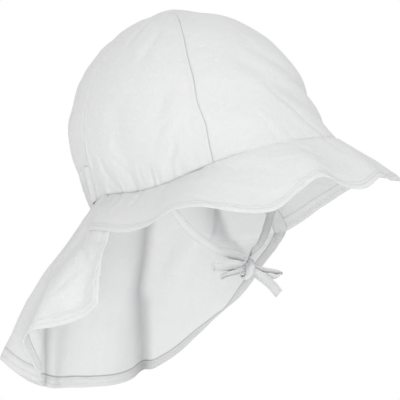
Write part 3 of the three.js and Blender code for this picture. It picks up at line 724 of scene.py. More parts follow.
def cotton(name, colour, weave, handling, pitch, weave_depth, wrinkle_depth, roughness=0.88):
    """Woven cotton: base colour with slub and patches, darkened by the painted shade attribute, thread and
    wrinkle relief, soft sheen.
    """
    material, tree, shader = new_material(name)
    threads = add_node(tree, "ShaderNodeGroup", {"Thread Pitch": pitch, "Slub": 0.5}, node_tree=weave)
    washed = add_node(tree, "ShaderNodeGroup", {}, node_tree=handling)
    tone = add_node(tree, "ShaderNodeMath", {0: washed["Patch"], 1: 0.5, 2: threads["Tone"]},
                    operation="MULTIPLY_ADD")[0]
    ramp = add_node(tree, "ShaderNodeMix", {
        "Factor": tone, "A": tuple(c * 0.965 for c in colour[:3]) + (1,),
        "B": tuple(min(1, c * 1.03) for c in colour[:3]) + (1,)}, data_type="RGBA")["Result"]
    # Painted shade: the base colour is multiplied darker by the painted shade attribute.
    ditch = add_node(tree, "ShaderNodeAttribute", {}, attribute_name="seam_shade")["Fac"]
    dark = add_node(tree, "ShaderNodeMix", {"Factor": ditch, "A": ramp, "B": (0.42, 0.42, 0.43, 1)},
                    data_type="RGBA", blend_type="MULTIPLY")["Result"]
    fine = add_node(tree, "ShaderNodeBump", {
        "Strength": 1.0, "Distance": weave_depth, "Height": threads["Height"]})[0]
    soft = add_node(tree, "ShaderNodeBump", {
        "Strength": 1.0, "Distance": wrinkle_depth, "Height": washed["Height"], "Normal": fine})[0]
    feed(tree, shader, {"Base Color": dark, "Normal": soft, "Roughness": roughness,
                        "Specular IOR Level": 0.25, "Sheen Weight": 0.15, "Sheen Roughness": 0.5})
    return material


def plain_material(name, colour, roughness):
    material, tree, shader = new_material(name)
    feed(tree, shader, {"Base Color": tuple(colour[:3]) + (1,), "Roughness": roughness})
    return material


def finishes():
    """The hat's three cottons, made once: cloth, tape and thread."""
    looks = bpy.context.scene.sun_hat_looks
    names = ("washed_white_cotton", "white_chin_tape", "white_sewing_thread")
    if names[0] not in bpy.data.materials:
        groups = weave_group(), handling_group()
        pitch, weave, wrinkle = looks.thread_pitch, looks.weave_depth, looks.wrinkle_depth
        cotton(names[0], looks.cloth_colour, *groups, pitch, weave, wrinkle)
        cotton(names[1], looks.tape_colour, *groups, pitch * 1.5, weave * 1.6, wrinkle * 0.5)
        cotton(names[2], looks.thread_colour, *groups, 0.18, weave * 0.6, wrinkle * 0.2, 0.75)
    return tuple(bpy.data.materials[name] for name in names)


# Stitches

def stitch_tree():
    """Geometry nodes that lay one small thread bead after another along each line."""
    tree, source, out = group_tree(
        "stitch_row", "GeometryNodeTree",
        [("Geometry", "Geometry", None), ("Pitch", "Float", 2.4 * MM), ("Stitch Length", "Float", 1.9 * MM),
         ("Thread", "Float", 0.34 * MM), ("Material", "Material", None)],
        [("Geometry", "Geometry")],
    )
    lines = add_node(tree, "GeometryNodeMeshToCurve", {0: source["Geometry"]})[0]
    steps = add_node(tree, "GeometryNodeCurveToPoints", {"Curve": lines, "Length": source["Pitch"]},
                     mode="LENGTH")
    bead = add_node(tree, "GeometryNodeMeshUVSphere", {"Segments": 6, "Rings": 4, "Radius": 0.5})["Mesh"]
    size = add_node(tree, "ShaderNodeCombineXYZ", {
        "X": source["Thread"], "Y": source["Thread"], "Z": source["Stitch Length"]})[0]
    shaped = add_node(tree, "GeometryNodeTransform", {"Geometry": bead, "Scale": size})[0]
    each = add_node(tree, "GeometryNodeInstanceOnPoints", {
        "Points": steps["Points"], "Instance": shaped, "Rotation": steps["Rotation"]})[0]
    real = add_node(tree, "GeometryNodeRealizeInstances", {0: each})[0]
    soft = add_node(tree, "GeometryNodeSetShadeSmooth", {0: real})[0]
    done = add_node(tree, "GeometryNodeSetMaterial", {"Geometry": soft, "Material": source["Material"]})[0]
    tree.links.new(done, out[0])
    return tree


SEWN = {}


def sew(name, lines):
    """Keeps the lines of one seam or hem, to be stitched once all the cloth is there."""
    SEWN.setdefault(name, []).extend(np.asarray(line) for line in lines)


def stitched(name, lines, material):
    """One plain mesh of stitches along the lines."""
    sizes = bpy.context.scene.sun_hat_stitches
    points, edges = [], []
    for line in lines:
        start = len(points)
        points.extend(map(tuple, line))
        edges.extend((k, k + 1) for k in range(start, len(points) - 1))
    mesh = bpy.data.meshes.new(name + "_lines")
    mesh.from_pydata(points, edges, [])
    guide = in_scene(name + "_lines", mesh)
    tree = bpy.data.node_groups.get("stitch_row") or stitch_tree()
    modifier = guide.modifiers.new("stitch_row", "NODES")
    modifier.node_group = tree
    values = {"Pitch": sizes.pitch, "Stitch Length": sizes.length, "Thread": sizes.thread,
              "Material": material}
    for item in tree.interface.items_tree:
        if item.in_out == "INPUT" and item.name in values:
            modifier[item.identifier] = values[item.name]
    evaluated = guide.evaluated_get(bpy.context.evaluated_depsgraph_get())
    made = bpy.data.meshes.new_from_object(evaluated)
    made.name = name
    guide.modifiers.remove(modifier)
    bpy.data.objects.remove(guide)
    if not len(made.polygons):
        raise RuntimeError(name + " has no stitches")
    finish_piece(in_scene(name, made), material, "cotton_cloth")


# Sizes and looks that a user would change

def number(name, description, default, **limits):
    return bpy.props.FloatProperty(name=name, description=description, default=default, **limits)


def metres(name, description, default, low=0.0, high=1.0):
    return number(name, description, default, min=low, max=high, precision=5, unit="LENGTH",
                  subtype="DISTANCE")


def paint(name, description, default):
    return bpy.props.FloatVectorProperty(name=name, description=description, default=default,
                                         size=3, min=0.0, max=1.0, subtype="COLOR")


class SunHatSizes(bpy.types.PropertyGroup):
    head_half_length: metres("Head Half Length", "Half the head opening, front to back", 88 * MM)
    head_half_width: metres("Head Half Width", "Half the head opening, side to side", 69 * MM)
    rim_rise: metres("Rim Rise", "How far the rim climbs to the brow", 23.5 * MM)
    ear_drop: metres("Ear Drop", "Extra sag of the rim over each ear", 9 * MM)
    nape_drop: metres("Nape Drop", "Extra depth of the rim at the nape", 6.5 * MM)
    crown_height: metres("Crown Height", "Height of the crown over the opening", 107 * MM)
    brim_width: metres("Brim Width", "Width of the brim's cloth", 48 * MM)
    flap_length: metres("Flap Length", "Length of the neck flap", 134 * MM)
    wall: metres("Wall", "Thickness of the cloth as built in the frame", 1.4 * MM)
    cloth: metres("Cloth", "Thickness of one layer as it shows", 0.7 * MM)
    gather_depth: metres("Gather Depth", "Depth of the gathers at the rim", 0.9 * MM)
    tape_width: metres("Tape Width", "Width of the chin tapes", 6 * MM)
    tape_wall: metres("Tape Wall", "Thickness of the chin tapes", 1.2 * MM)
    knot_drop: metres("Knot Drop", "Knot below the middle of the opening", 63 * MM)
    knot_forward: metres("Knot Forward", "Knot in front of the middle of the opening", 28 * MM)
    knot_size: metres("Knot Size", "Height of the knot", 7 * MM)


class SunHatStitches(bpy.types.PropertyGroup):
    pitch: metres("Pitch", "From one stitch to the next", 2.6 * MM)
    length: metres("Length", "Length of one stitch", 2.0 * MM)
    thread: metres("Thread", "Thickness of the thread", 0.36 * MM)
    first_row: metres("First Row", "Outer hem row to the edge", 3.4 * MM)
    second_row: metres("Second Row", "Inner row of the brim's hem to the edge", 5.4 * MM)
    flap_row: metres("Flap Row", "Inner row of the flap's hem to the edge", 7.4 * MM)
    facing: metres("Facing", "Width of the folded hem", 8.6 * MM)


class SunHatLooks(bpy.types.PropertyGroup):
    cloth_colour: paint("Cloth Colour", "Colour of the white cotton", (0.68, 0.682, 0.686))
    tape_colour: paint("Tape Colour", "Colour of the chin tapes", (0.63, 0.632, 0.638))
    thread_colour: paint("Thread Colour", "Colour of the sewing thread", (0.7, 0.7, 0.705))
    thread_pitch: number("Thread Pitch", "Weave pitch in mm", 0.42, min=0.05, max=5)
    weave_depth: metres("Weave Depth", "Relief of the weave", 0.03 * MM)
    wrinkle_depth: metres("Wrinkle Depth", "Relief of the tiny wrinkles", 0.5 * MM)


class SunHatStage(bpy.types.PropertyGroup):
    azimuth: number("Azimuth", "Camera angle round the hat", math.radians(-55), subtype="ANGLE")
    elevation: number("Elevation", "Camera angle above level", math.radians(3), subtype="ANGLE")
    distance: metres("Distance", "Camera to the aim", 1.5, 0.1, 20)
    lens: number("Lens", "Focal length in mm", 201.5)
    aim: bpy.props.FloatVectorProperty(name="Aim", description="Point in the middle of the picture",
                                       default=(-5.83 * MM, 6.55 * MM, -19.4 * MM), size=3,
                                       subtype="TRANSLATION", unit="LENGTH")
    floor_drop: metres("Floor Drop", "Floor below the lowest edge of the flap", 0.45)
    floor_radius: metres("Floor Radius", "Radius of the round floor", 2.2, 0.2, 50)
    floor_colour: paint("Floor Colour", "Colour of the pale floor", (0.97, 0.97, 0.97))
    room_light: number("Room Light", "Strength of the even light", 0.8, min=0, max=5)
    room_below: number("Room Below", "Strength of the light from below", 0.66, min=0, max=5)
    overhead: number("Overhead", "Strength of the light from above", 0.7, min=0, max=10)
    key_power: number("Key Light", "Power of the front softbox", 11.0, min=0, unit="POWER")
    fill_power: number("Fill Light", "Power of the side softbox", 1.5, min=0, unit="POWER")


# The crown

# Distances from an edge, in mm, where every sheet has a row of points.
EDGE = (0.15, 0.4, 0.8)
# How far a stitched line stands off the cloth.
ON_CLOTH = 0.02 * MM


def crown_relief(angle, level, cloth, from_rim):
    """Creases, rim puckers, seam pull and unevenness of a crown panel, in metres."""
    size = crown_at("size", level)
    push = creases(CROWN_CREASES, angle, level, lambda l: CROWN_DEGREE * MM * float(
        crown_at("size", l)), CROWN_WAY * MM)
    rng = np.random.default_rng(7)
    high = cloth.top if from_rim else cloth.top + 40 * MM
    spots = np.arange(-136, 137, 3.1)
    for spot in spots + rng.uniform(-1.1, 1.1, len(spots)):
        strong = 0.18 + 0.82 * smooth((abs(spot) - 38) / 34)
        tall, wide = rng.uniform(6, 20) * MM, rng.uniform(1.2, 2.1) * MM
        deep, lean = rng.uniform(0.25, 0.75) * MM * strong, rng.uniform(-0.25, 0.25)
        off = (angle - spot) * CROWN_DEGREE * MM * size - lean * high
        push -= 1.35 * deep * bump(off, wide) * (1 - smooth(high / tall)) * smooth(high / (1.4 * MM))
    gather = smooth((level - 0.82) / 0.12) * (1 - smooth((level - 0.97) / 0.03))
    push += 0.45 * MM * gather * np.sin(np.radians(angle * 14 + 25 * np.sin(np.radians(angle * 3))))
    for deep, seed, step in ((0.55, 3, 23), (0.14, 4, 8)):
        lumps = rumple(angle * CROWN_DEGREE * size + 400, level * CROWN_WAY + 50, seed, step)
        push += deep * MM * lumps * smooth(size * 2)
    return push * smooth(size / 0.12)


def seam_pull(cloth, edge, seed, allowance):
    """Valley of a seam, its ripple and the folded-under cloth beside it."""
    away = getattr(cloth, edge)
    along = cloth.top if edge in ("left", "right") else cloth.left
    ripple = rumple(along / MM + 300, np.zeros_like(along) + 9.5, seed, 4.2)
    pull = 0.2 * MM * ripple * np.exp(-away / (4.5 * MM))
    if allowance:
        pull += 0.24 * MM * (1 - smooth((away - 2.3 * MM) / (1.0 * MM))) - 0.14 * MM * bump(
            away - 2.3 * MM, 0.5 * MM) - 0.3 * MM * bump(away, 0.6 * MM)
    else:
        pull -= 0.34 * MM * bump(away, 0.8 * MM)
    return pull


def crown_panel(form, from_rim, seam_a, seam_b, columns, rows, allowance_a, allowance_b):
    """One panel between two seams, each with or without the folded-under cloth beside it."""
    low, top = 0.0 if from_rim else BAND_SHARE - 0.003, 0.9985
    shares = spaced(150 * MM, rows, EDGE + (1.5, 2.3, 3.2), EDGE)
    level = low + shares * (top - low)
    a, b = seam_a(level), seam_b(level)
    width = np.linalg.norm(form.crown_point(a, level) - form.crown_point(b, level), axis=-1)
    width = np.maximum(width * 1.1, 9 * MM)
    inset = 0.05 * MM / width
    near = np.array(EDGE + (1.3, 1.9, 2.3, 2.8, 3.6))
    scale = np.minimum(1, width / (24 * MM))
    across = np.stack([spaced(w, columns, near * s, near * s) for w, s in zip(width, scale)], 1)
    across = inset + across * (1 - 2 * inset)
    angle = mix(a[None], b[None], across)
    level = np.broadcast_to(level[None], angle.shape)
    cloth = Cloth(form.crown_point(angle, level), turned=True)
    push = crown_relief(angle, level, cloth, from_rim)
    close = crown_at("size", level)
    size = smooth(close / 0.3)
    push = push + seam_pull(cloth, "left", 11, allowance_a) * size
    push = push + seam_pull(cloth, "right", 12, allowance_b) * size
    # Gathered cloth bulges over the rim seam at the sides and lies flat at the brow.
    full = smooth((np.abs(angle) - 36) / 26) if from_rim else 0.0 * angle
    push = push - 0.15 * MM * bump(cloth.top, 0.8 * MM) + 0.6 * MM * full * bump(
        cloth.top - 2.0 * MM, 1.5 * MM)
    # Painted shade along the rim seam, darker where the gathered cloth bulges over it, and along the side
    # seams.
    shade = (0.12 + 0.5 * full) * bump(cloth.top, 0.5 * MM) * (1.0 if from_rim else 0.5)
    shade_a, shade_b = 0.25 if allowance_a else 0.14, 0.4 if allowance_b else 0.2
    for away, deep in ((cloth.left, shade_a), (cloth.right, shade_b)):
        shade = np.maximum(shade, deep * bump(away, 0.3 * MM) * size)
    push = push + 0.8 * MM * bump(close, 0.1) - 0.7 * MM * bump(close - 0.2, 0.07)
    push = push + 0.2 * MM * rumple(cloth.left / MM + 80, cloth.top * 0 + 5.5, 13, 4.0) * np.exp(
        -cloth.top / (4 * MM)) * smooth(cloth.top / (1.2 * MM))
    if from_rim:
        # The cloth stands proud where it meets the end of the gathered band, with a painted shadow line
        # beside it.
        beside = 1 - smooth((level - BAND_SHARE * 1.05) / 0.09)
        behind = 1 - smooth((level - 0.15) / 0.16)
        for away, seam in ((cloth.left, seam_a), (cloth.right, seam_b)):
            if abs(float(seam(np.array(0.0)))) > 100:
                push = push + 0.5 * MM * beside * bump(away, 4 * MM) * smooth(level / 0.02)
                shade = np.maximum(shade, 0.9 * behind * bump(away, 0.9 * MM))
    half = 0.5 * bpy.context.scene.sun_hat_sizes.cloth * np.ones(angle.shape)
    return cloth.dress(push, half, half, shade)


class BuildCrown(bpy.types.Operator):
    """Sew the five crown panels"""

    bl_idname = "sun_hat.crown"
    bl_label = "Crown Panels"
    bl_options = {"REGISTER", "UNDO"}

    def execute(self, context):
        form = HatForm(context.scene.sun_hat_sizes)
        front, back = form.front_seam, form.back_seam

        def minus(seam):
            return lambda level: -seam(level)

        def behind(level):
            return 180 + 0 * level

        panels = (
            ("front_panel", True, minus(front), front, 118, 118, False, False),
            ("side_panel_right", True, front, back, 96, 118, True, True),
            ("side_panel_left", True, minus(back), minus(front), 96, 118, True, True),
            ("back_panel_right", False, back, behind, 60, 96, False, True),
            ("back_panel_left", False, minus(behind), minus(back), 60, 96, False, False),
        )
        lift = 0.04 * MM
        for name, *shape in panels:
            cloth = crown_panel(form, *shape)
            finish_cloth(cloth, name, "crown_" + name)
            keep = int(cloth.middle.shape[1] * 0.93)
            for edge, folded in zip(("left", "right"), shape[-2:]):
                if folded:
                    sew("crown_topstitch", [cloth.row(edge, 2.3 * MM, lift=lift)[3:keep]])
            sew("rim_topstitch", [cloth.row("top", 1.5 * MM, lift=lift)[4:-4]])
        return {"FINISHED"}


class BuildBand(bpy.types.Operator):
    """Gather the band at the nape"""

    bl_idname = "sun_hat.band"
    bl_label = "Gathered Band"
    bl_options = {"REGISTER", "UNDO"}

    def execute(self, context):
        form = HatForm(context.scene.sun_hat_sizes)
        wall, gather = form.wall, form.gather
        v = spaced(BAND_HIGH, 22, EDGE, EDGE)
        u = spaced(BAND_LONG, 250, EDGE, EDGE)
        u, v = np.meshgrid(u, v, indexing="ij")
        level = mix(0.002, BAND_SHARE - 0.0012, v)
        # The band's ends go in behind the side panels.
        start = BAND_START - 1.3 + BAND_LEAN * level / BAND_SHARE
        angle = mix(start, 360 - start, u)
        p = form.crown_point(np.where(angle > 180, angle - 360, angle), level)
        inward = -form.polar(angle, 1.0, 0.0)
        uneven = u + 0.011 * rumple(u * 100, v * 2, 21, 7)
        wave = np.sin(uneven * np.pi * 2 * 22) + 0.45 * np.sin(uneven * np.pi * 2 * 35 + 1.3)
        pleat = np.sign(wave) * np.abs(wave) ** 0.8 * (0.25 + 0.75 * np.sin(np.pi * v))
        waist = np.clip(np.sin(np.pi * u) * 3, 0, 1)
        end = np.minimum(u, 1 - u) * BAND_LONG
        tuck = 1.9 * MM * bump(end, 2.9 * MM) - 1.3 * MM * bump(end - 5.5 * MM, 3.2 * MM)
        deep = wall * 0.25 * waist - gather * pleat + tuck
        cloth = Cloth(p + inward * deep[..., None], turned=True)
        rows = 0.0
        for height in BAND_ROWS:
            rows = rows - 0.35 * MM * bump(cloth.top - height, 0.8 * MM)
        half = 0.5 * context.scene.sun_hat_sizes.cloth * np.ones(u.shape)
        # Painted shade in the grooves of the gathers and at the band's tucked ends.
        cloth.dress(rows + 0.1 * MM * rumple(u * 124 + 10, v * 22, 22, 4), half, half,
                    0.45 * smooth(0.5 * pleat) + 0.35 * bump(end, 2.2 * MM))
        finish_cloth(cloth, "gathered_band", "back_band")
        for height in BAND_ROWS:
            sew("band_stitching", [cloth.row("top", height, lift=0.05 * MM)[3:-3]])
        return {"FINISHED"}


class BuildBrim(bpy.types.Operator):
    """Hem the wavy brim"""

    bl_idname = "sun_hat.brim"
    bl_label = "Brim"
    bl_options = {"REGISTER", "UNDO"}

    def execute(self, context):
        form = HatForm(context.scene.sun_hat_sizes)
        stitch = context.scene.sun_hat_stitches
        first, second = stitch.first_row / MM, stitch.second_row / MM
        hem = EDGE + (1.5, 2.3, first - 0.5, first, first + 0.5, first + 1, second - 0.45, second,
                      second + 0.5, second + 1.1, 7.6, 9.0, 10.2, 10.7, 11.2)
        ends = EDGE + (1.6, 2.6, 3.4, 4.2)
        u = spaced(520 * MM, 400, ends, ends)

        def point(across, v):
            end = mix(form.brim_end_top, form.brim_end_hem, v)
            return form.brim_point(mix(-end, end, across), v)

        length = np.linalg.norm(point(u, 1.0) - point(u, 0.0), axis=-1) * 1.02
        shares = spaced(length, 26, EDGE + (1.6, 2.6), hem)
        v = by_length(point, u, shares)
        u = np.broadcast_to(u[:, None], v.shape)
        end = mix(form.brim_end_top, form.brim_end_hem, v)
        angle = mix(-end, end, u)
        cloth = Cloth(point(u, v))
        down = cloth.bottom
        push = creases(BRIM_CREASES, angle, v, lambda l: 1.7 * MM, 40 * MM)
        along = cloth.left / MM
        push += 0.45 * MM * rumple(along, v * 40 + 90, 31, 19)
        push += 0.16 * MM * rumple(along, v * 40 + 90, 32, 7)
        push += 0.3 * MM * rumple(along, down * 0 + 3.5, 33, 4.4) * bump(down - 4.4 * MM, 3.4 * MM)
        push -= 0.3 * MM * bump(cloth.top, 0.8 * MM)
        push += 0.3 * MM * rumple(along, down * 0 + 7.5, 34, 4.0) * np.exp(-cloth.top / (5 * MM))
        push = push * smooth(cloth.top / (1.2 * MM))
        half = 0.5 * context.scene.sun_hat_sizes.cloth
        groove = sum(0.2 * MM * bump(down - d * MM, 0.4 * MM) for d in (first, second))
        side = np.minimum(cloth.left, cloth.right)
        folded = 1 - smooth((down - (second + 0.9) * MM) / (0.7 * MM))
        facing = 1 - smooth((down - 10.2 * MM) / (0.8 * MM))
        outer = half + 0.12 * MM * folded - groove
        inner = half + 0.3 * MM * facing - groove + 0.2 * MM * (1 - smooth((side - 3 * MM) / (0.6 * MM)))
        full = smooth((np.abs(angle) - 36) / 26)
        # Painted shade along the stitch rows and the rim seam, over the whole underside, and in a line at the
        # facing's edge underneath.
        rows = sum(0.3 * bump(down - d * MM, 0.32 * MM) for d in (first, second))
        rows = np.maximum(rows, (0.06 + 0.4 * full) * bump(cloth.top, 0.7 * MM))
        under = np.maximum(rows + 0.2, 0.55 * bump(down - 10.7 * MM, 0.4 * MM))
        cloth.dress(push, outer, inner, rows, under)
        finish_cloth(cloth, "brim_cloth", "brim")
        for face in ("outer", "inner"):
            for row in (stitch.first_row, stitch.second_row):
                sew("brim_stitching", [cloth.row("bottom", row, face, ON_CLOTH)[5:-5]])
        for edge in ("left", "right"):
            sew("brim_stitching", [cloth.row(edge, 2.6 * MM, "outer", ON_CLOTH)[4:-10]])
        sew("rim_topstitch", [cloth.row("top", 2.2 * MM, "outer", ON_CLOTH)[5:-5]])
        return {"FINISHED"}


class BuildFlap(bpy.types.Operator):
    """Hang the neck flap"""

    bl_idname = "sun_hat.flap"
    bl_label = "Neck Flap"
    bl_options = {"REGISTER", "UNDO"}

    def execute(self, context):
        form = HatForm(context.scene.sun_hat_sizes)
        stitch = context.scene.sun_hat_stitches
        first, second, facing_width = (x / MM for x in (stitch.first_row, stitch.flap_row, stitch.facing))
        both = EDGE + (1.6, 2.4, first - 0.5, first, first + 0.5, 4.8, 5.8, second - 0.5, second,
                       second + 0.5, facing_width)
        hem = both + (facing_width + 0.35, facing_width + 0.8, facing_width + 1.6)
        side = both + (facing_width + 0.5,)
        u = spaced(330 * MM, 262, side, side)

        def point(across, v):
            return form.flap_point(mix(360 - form.flap_start, form.flap_start, across), v)

        def degree(v):
            return (1.5 + 0.8 * v) * MM

        fine = np.linspace(0, 1, 41)
        p = point(u[:, None], fine[None])
        length = np.linalg.norm(np.diff(p, axis=1), axis=-1).sum(1)
        shares = spaced(length, 104, EDGE + (1.6,), hem)
        v = by_length(point, u, shares)
        u = np.broadcast_to(u[:, None], v.shape)
        top = mix(360 - form.flap_start, form.flap_start, u)
        cloth = Cloth(point(u, v), turned=True)
        down = np.minimum(cloth.bottom, np.minimum(cloth.left, cloth.right))
        push = creases(FLAP_CREASES, top, v, degree, FLAP_WAY)
        folds, depth = pleats(FLAP_PLEATS, top, v, degree)
        push += folds
        push += 0.9 * MM * rumple(top * 2.0, v * 60 + 40, 41, 21) * smooth(v / 0.2)
        push += 0.35 * MM * rumple(top * 2.0, v * 110 + 40, 42, 9)
        gathers = np.sin(np.radians(top * 23)) + 0.6 * np.sin(np.radians(top * 37 + 60))
        around = from_front(top)
        nape = smooth((around - 120) / 12)
        push += 0.8 * MM * nape * gathers * np.exp(-cloth.top / (11 * MM))
        ripple = rumple(cloth.left / MM + cloth.top / MM, down * 0 + 3.5, 43, 4.6)
        push += 0.38 * MM * ripple * bump(down - 5.4 * MM, 4 * MM)
        # Folds stay inside the brim's ends, which lie over the flap.
        covered = (1 - smooth((around - 120) / 8)) * (1 - smooth((v - 0.38) / 0.12))
        push = np.minimum(push, mix(9.0, 0.2, covered) * MM)
        half = 0.5 * context.scene.sun_hat_sizes.cloth
        groove = sum(0.22 * MM * bump(down - d * MM, 0.4 * MM) for d in (first, second))
        facing = 1 - smooth((down - facing_width * MM) / (0.45 * MM))
        ditch = 0.35 * MM * bump(down - (facing_width + 0.6) * MM, 0.5 * MM)
        hanging = smooth((top - 128) / 8)
        outer = half + 0.05 * MM * facing - groove - 0.5 * ditch * hanging
        inner = half + 0.35 * MM * facing - groove - 0.6 * ditch
        # Painted shade: a dark line at the facing's edge, darker on the hanging back, along the stitch rows,
        # over the folded facing and more so at the far back, and in the pleats.
        line = bump(down - (facing_width + 0.35) * MM, 0.38 * MM)
        rows = sum(bump(down - d * MM, 0.32 * MM) for d in (first, second))
        folded = 1 - smooth((down - facing_width * MM) / (0.5 * MM))
        folded = (0.1 + 0.2 * smooth((top - 208) / 14)) * folded
        shade = np.maximum((0.1 + 0.15 * hanging) * rows, (0.06 + 0.55 * hanging) * line)
        inner_shade = np.maximum(np.maximum(0.22 * rows, folded), 0.8 * line) + depth
        cloth.dress(push, outer, inner, shade, inner_shade)
        finish_cloth(cloth, "flap_cloth", "neck_flap")
        for face in ("outer", "inner"):
            for row in (stitch.first_row, stitch.flap_row):
                inside = (cloth.left[:, -1] > row) & (cloth.right[:, -1] > row)
                sew("flap_stitching", [cloth.row("bottom", row, face, ON_CLOTH)[inside]])
                for edge, column in (("left", 0), ("right", -1)):
                    inside = (cloth.bottom[column] > row) & (cloth.top[column] > 4 * MM)
                    sew("flap_stitching", [cloth.row(edge, row, face, ON_CLOTH)[inside]])
        return {"FINISHED"}


# The tapes and the bow

# A tape's stitched line to its edge.
TAPE_ROW = 1.1 * MM


def along_curve(points, t):
    """Centripetal spline through points, and its direction, at shares t of its spans."""
    p = np.array(points, float)
    p = np.concatenate([[2 * p[0] - p[1]], p, [2 * p[-1] - p[-2]]])
    spans = len(p) - 3
    x = np.clip(t, 0, 1) * spans
    i = np.minimum(np.floor(x).astype(int), spans - 1)
    w = (x - i)[:, None]
    a, b, c, d = p[i], p[i + 1], p[i + 2], p[i + 3]

    def gap(m, n):
        return np.maximum(((m - n) ** 2).sum(-1) ** 0.25, 1e-6)[:, None]

    d0, d1, d2 = gap(a, b), gap(b, c), gap(c, d)
    t1 = ((b - a) / d0 - (c - a) / (d0 + d1) + (c - b) / d1) * d1
    t2 = ((c - b) / d1 - (d - b) / (d1 + d2) + (d - c) / d2) * d1
    point = cubic(w, b, c, t1, t2)
    slope = (6 * w * w - 6 * w) * (b - c) + (3 * w * w - 4 * w + 1) * t1 + (3 * w * w - 2 * w) * t2
    return point, unit(slope)


def tape_cloth(points, across, pinch, width, wall, steps, seed, curl=None):
    """A flat tape along a run of points, with two stitched edges and small kinks. pinch narrows it,
    and curl, in degrees, rolls its two sides up."""
    t = np.linspace(0, 1, steps)
    p, tangent = along_curve(points, t)
    side = across(tangent)
    side = unit(side - tangent * (side * tangent).sum(-1, keepdims=True))
    face = unit(np.cross(tangent, side))
    near = (0.12, 0.3, 0.6, 0.9, 1.2)
    v = spaced(width, 11, near, near) - 0.5
    narrow = pinch(t)[:, None]
    # A pinched tape buckles into a gutter, so that its cloth keeps its width.
    gutter = 95 * np.sqrt(np.maximum(1 - narrow, 0))
    bend = np.radians(np.maximum(gutter, 6 if curl is None else curl(t)[:, None]))
    turn = v[None] * 2 * bend
    reach = width / (2 * bend)
    middle = (p[:, None] + side[:, None] * (reach * np.sin(turn))[..., None]
              + face[:, None] * (reach * (np.cos(turn) - np.cos(bend / 2)))[..., None])
    cloth = Cloth(middle)
    away = np.minimum(cloth.top, cloth.bottom)
    push = 0.16 * MM * rumple(cloth.left / MM + seed * 7, cloth.top / MM + 5, seed, 3.2)
    push += 0.1 * MM * rumple(cloth.left / MM, cloth.top * 0 + 2.5, seed + 1, 1.8)
    stitching = bump(away - TAPE_ROW, 0.3 * MM)
    thick = 0.5 * wall - 0.12 * MM * stitching
    # Painted shade along the stitched lines.
    return cloth.dress(push, thick, thick, 0.35 * stitching)


def sew_tape(cloth, first, last):
    """Lines along both edges of a tape, on both of its faces."""
    for face in ("outer", "inner"):
        for edge in ("top", "bottom"):
            sew("tape_stitching", [cloth.row(edge, TAPE_ROW, face, ON_CLOTH)[first:last]])


class BowPlace:
    """The bow's own directions: along from loop to loop, facing outward, and up."""

    def __init__(self, s):
        turn = math.radians(-27)
        self.along = np.array([math.cos(turn), math.sin(turn), 0])
        self.facing = np.array([math.sin(turn), -math.cos(turn), 0])
        self.up = np.array([0, 0, 1.0])
        self.knot = np.array([0, -s.knot_forward, -s.knot_drop])

    def at(self, a, f, r):
        return self.knot + self.along * a + self.facing * f + self.up * r

    def run(self, name):
        return [self.at(a * MM, f * MM, r * MM) for a, f, r in BOW_RUNS[name]]


class BuildTies(bpy.types.Operator):
    """Hang the two chin tapes"""

    bl_idname = "sun_hat.ties"
    bl_label = "Chin Tapes"
    bl_options = {"REGISTER", "UNDO"}

    def execute(self, context):
        s = context.scene.sun_hat_sizes
        form, bow = HatForm(s), BowPlace(s)
        tape = finishes()[1]
        # Which side each tape is on, and the way its flat face looks.
        tapes = (("right", -1, (-1.0, -0.4, 0.1)), ("left", 1, (-0.82, -0.57, -0.35)))
        for hand, side, facing in tapes:
            name, node = "chin_tape_" + hand, "tie_" + hand
            angle = np.array(-side * 84.0)
            start = form.polar(angle, form.rim_radius(angle) - 0.15 * MM - s.tape_wall / 2,
                               form.rim_height(angle) - 2.2 * MM)
            end = bow.at(side * s.knot_size * 0.22, -0.9 * MM, s.knot_size * 0.5 + 1.3 * MM)
            span = end - start

            def sag(t, down, back=0.0):
                return start + span * t + np.array([0, 0, -down * MM]) - bow.facing * back * MM

            points = [start, sag(0.03, 3.5), sag(0.28, 11.5), sag(0.6, 10.5), sag(0.85, 3.6, 2.2), end]

            def across(tangent, facing=np.array(facing)):
                return np.cross(tangent, facing)

            def pinch(t):
                return 1 - 0.4 * smooth((t - 0.84) / 0.16)

            cloth = tape_cloth(points, across, pinch, s.tape_width, s.tape_wall, 150, 50 + side)
            finish_piece(cloth_object(name, *cloth.shell()), tape, "cotton_tape", node)
            sew_tape(cloth, 2, 128)
        return {"FINISHED"}


# The bow's tapes as runs of points from the middle of the knot, in mm: along the bow to the wearer's
# left, outward and up.
BOW_RUNS = {
    "bow_loop_near": ((-2.5, 1.0, 0.6), (-12, 2.4, 2.4), (-20.5, 2.2, 1.6), (-25.6, 0.6, 1.1),
                      (-21, -1.4, 0.9), (-12, -1.8, 0.6), (-3, -1.2, 0.0)),
    "bow_end_near": ((-2.5, 1.6, -1.2), (-11.5, 2.6, -3.0), (-17, 2.6, -4.2), (-22.4, 3.0, -5.9)),
    "bow_loop_far": ((4.5, 0.4, -1.0), (12.5, 0.8, -2.9), (19.5, 0.8, -3.9), (24.6, 0.4, -5.9),
                     (20, 0.6, -7.6), (12.5, 0.8, -6.0), (4.5, 0.4, -3.4)),
    "bow_end_far": ((2.0, 2.0, -3.0), (10.6, 3.0, -8.0), (17.2, 2.6, -13.2), (23.4, 1.2, -19.2)),
    "wrap": ((1.8, -3.4, 2.4), (1.4, 0.6, 4.4), (0.8, 4.3, 1.6), (0.2, 4.7, -2.6), (-0.8, 3.4, -6.2),
             (-1.4, -1.0, -7.4), (-1.2, -3.4, -5.6)),
}


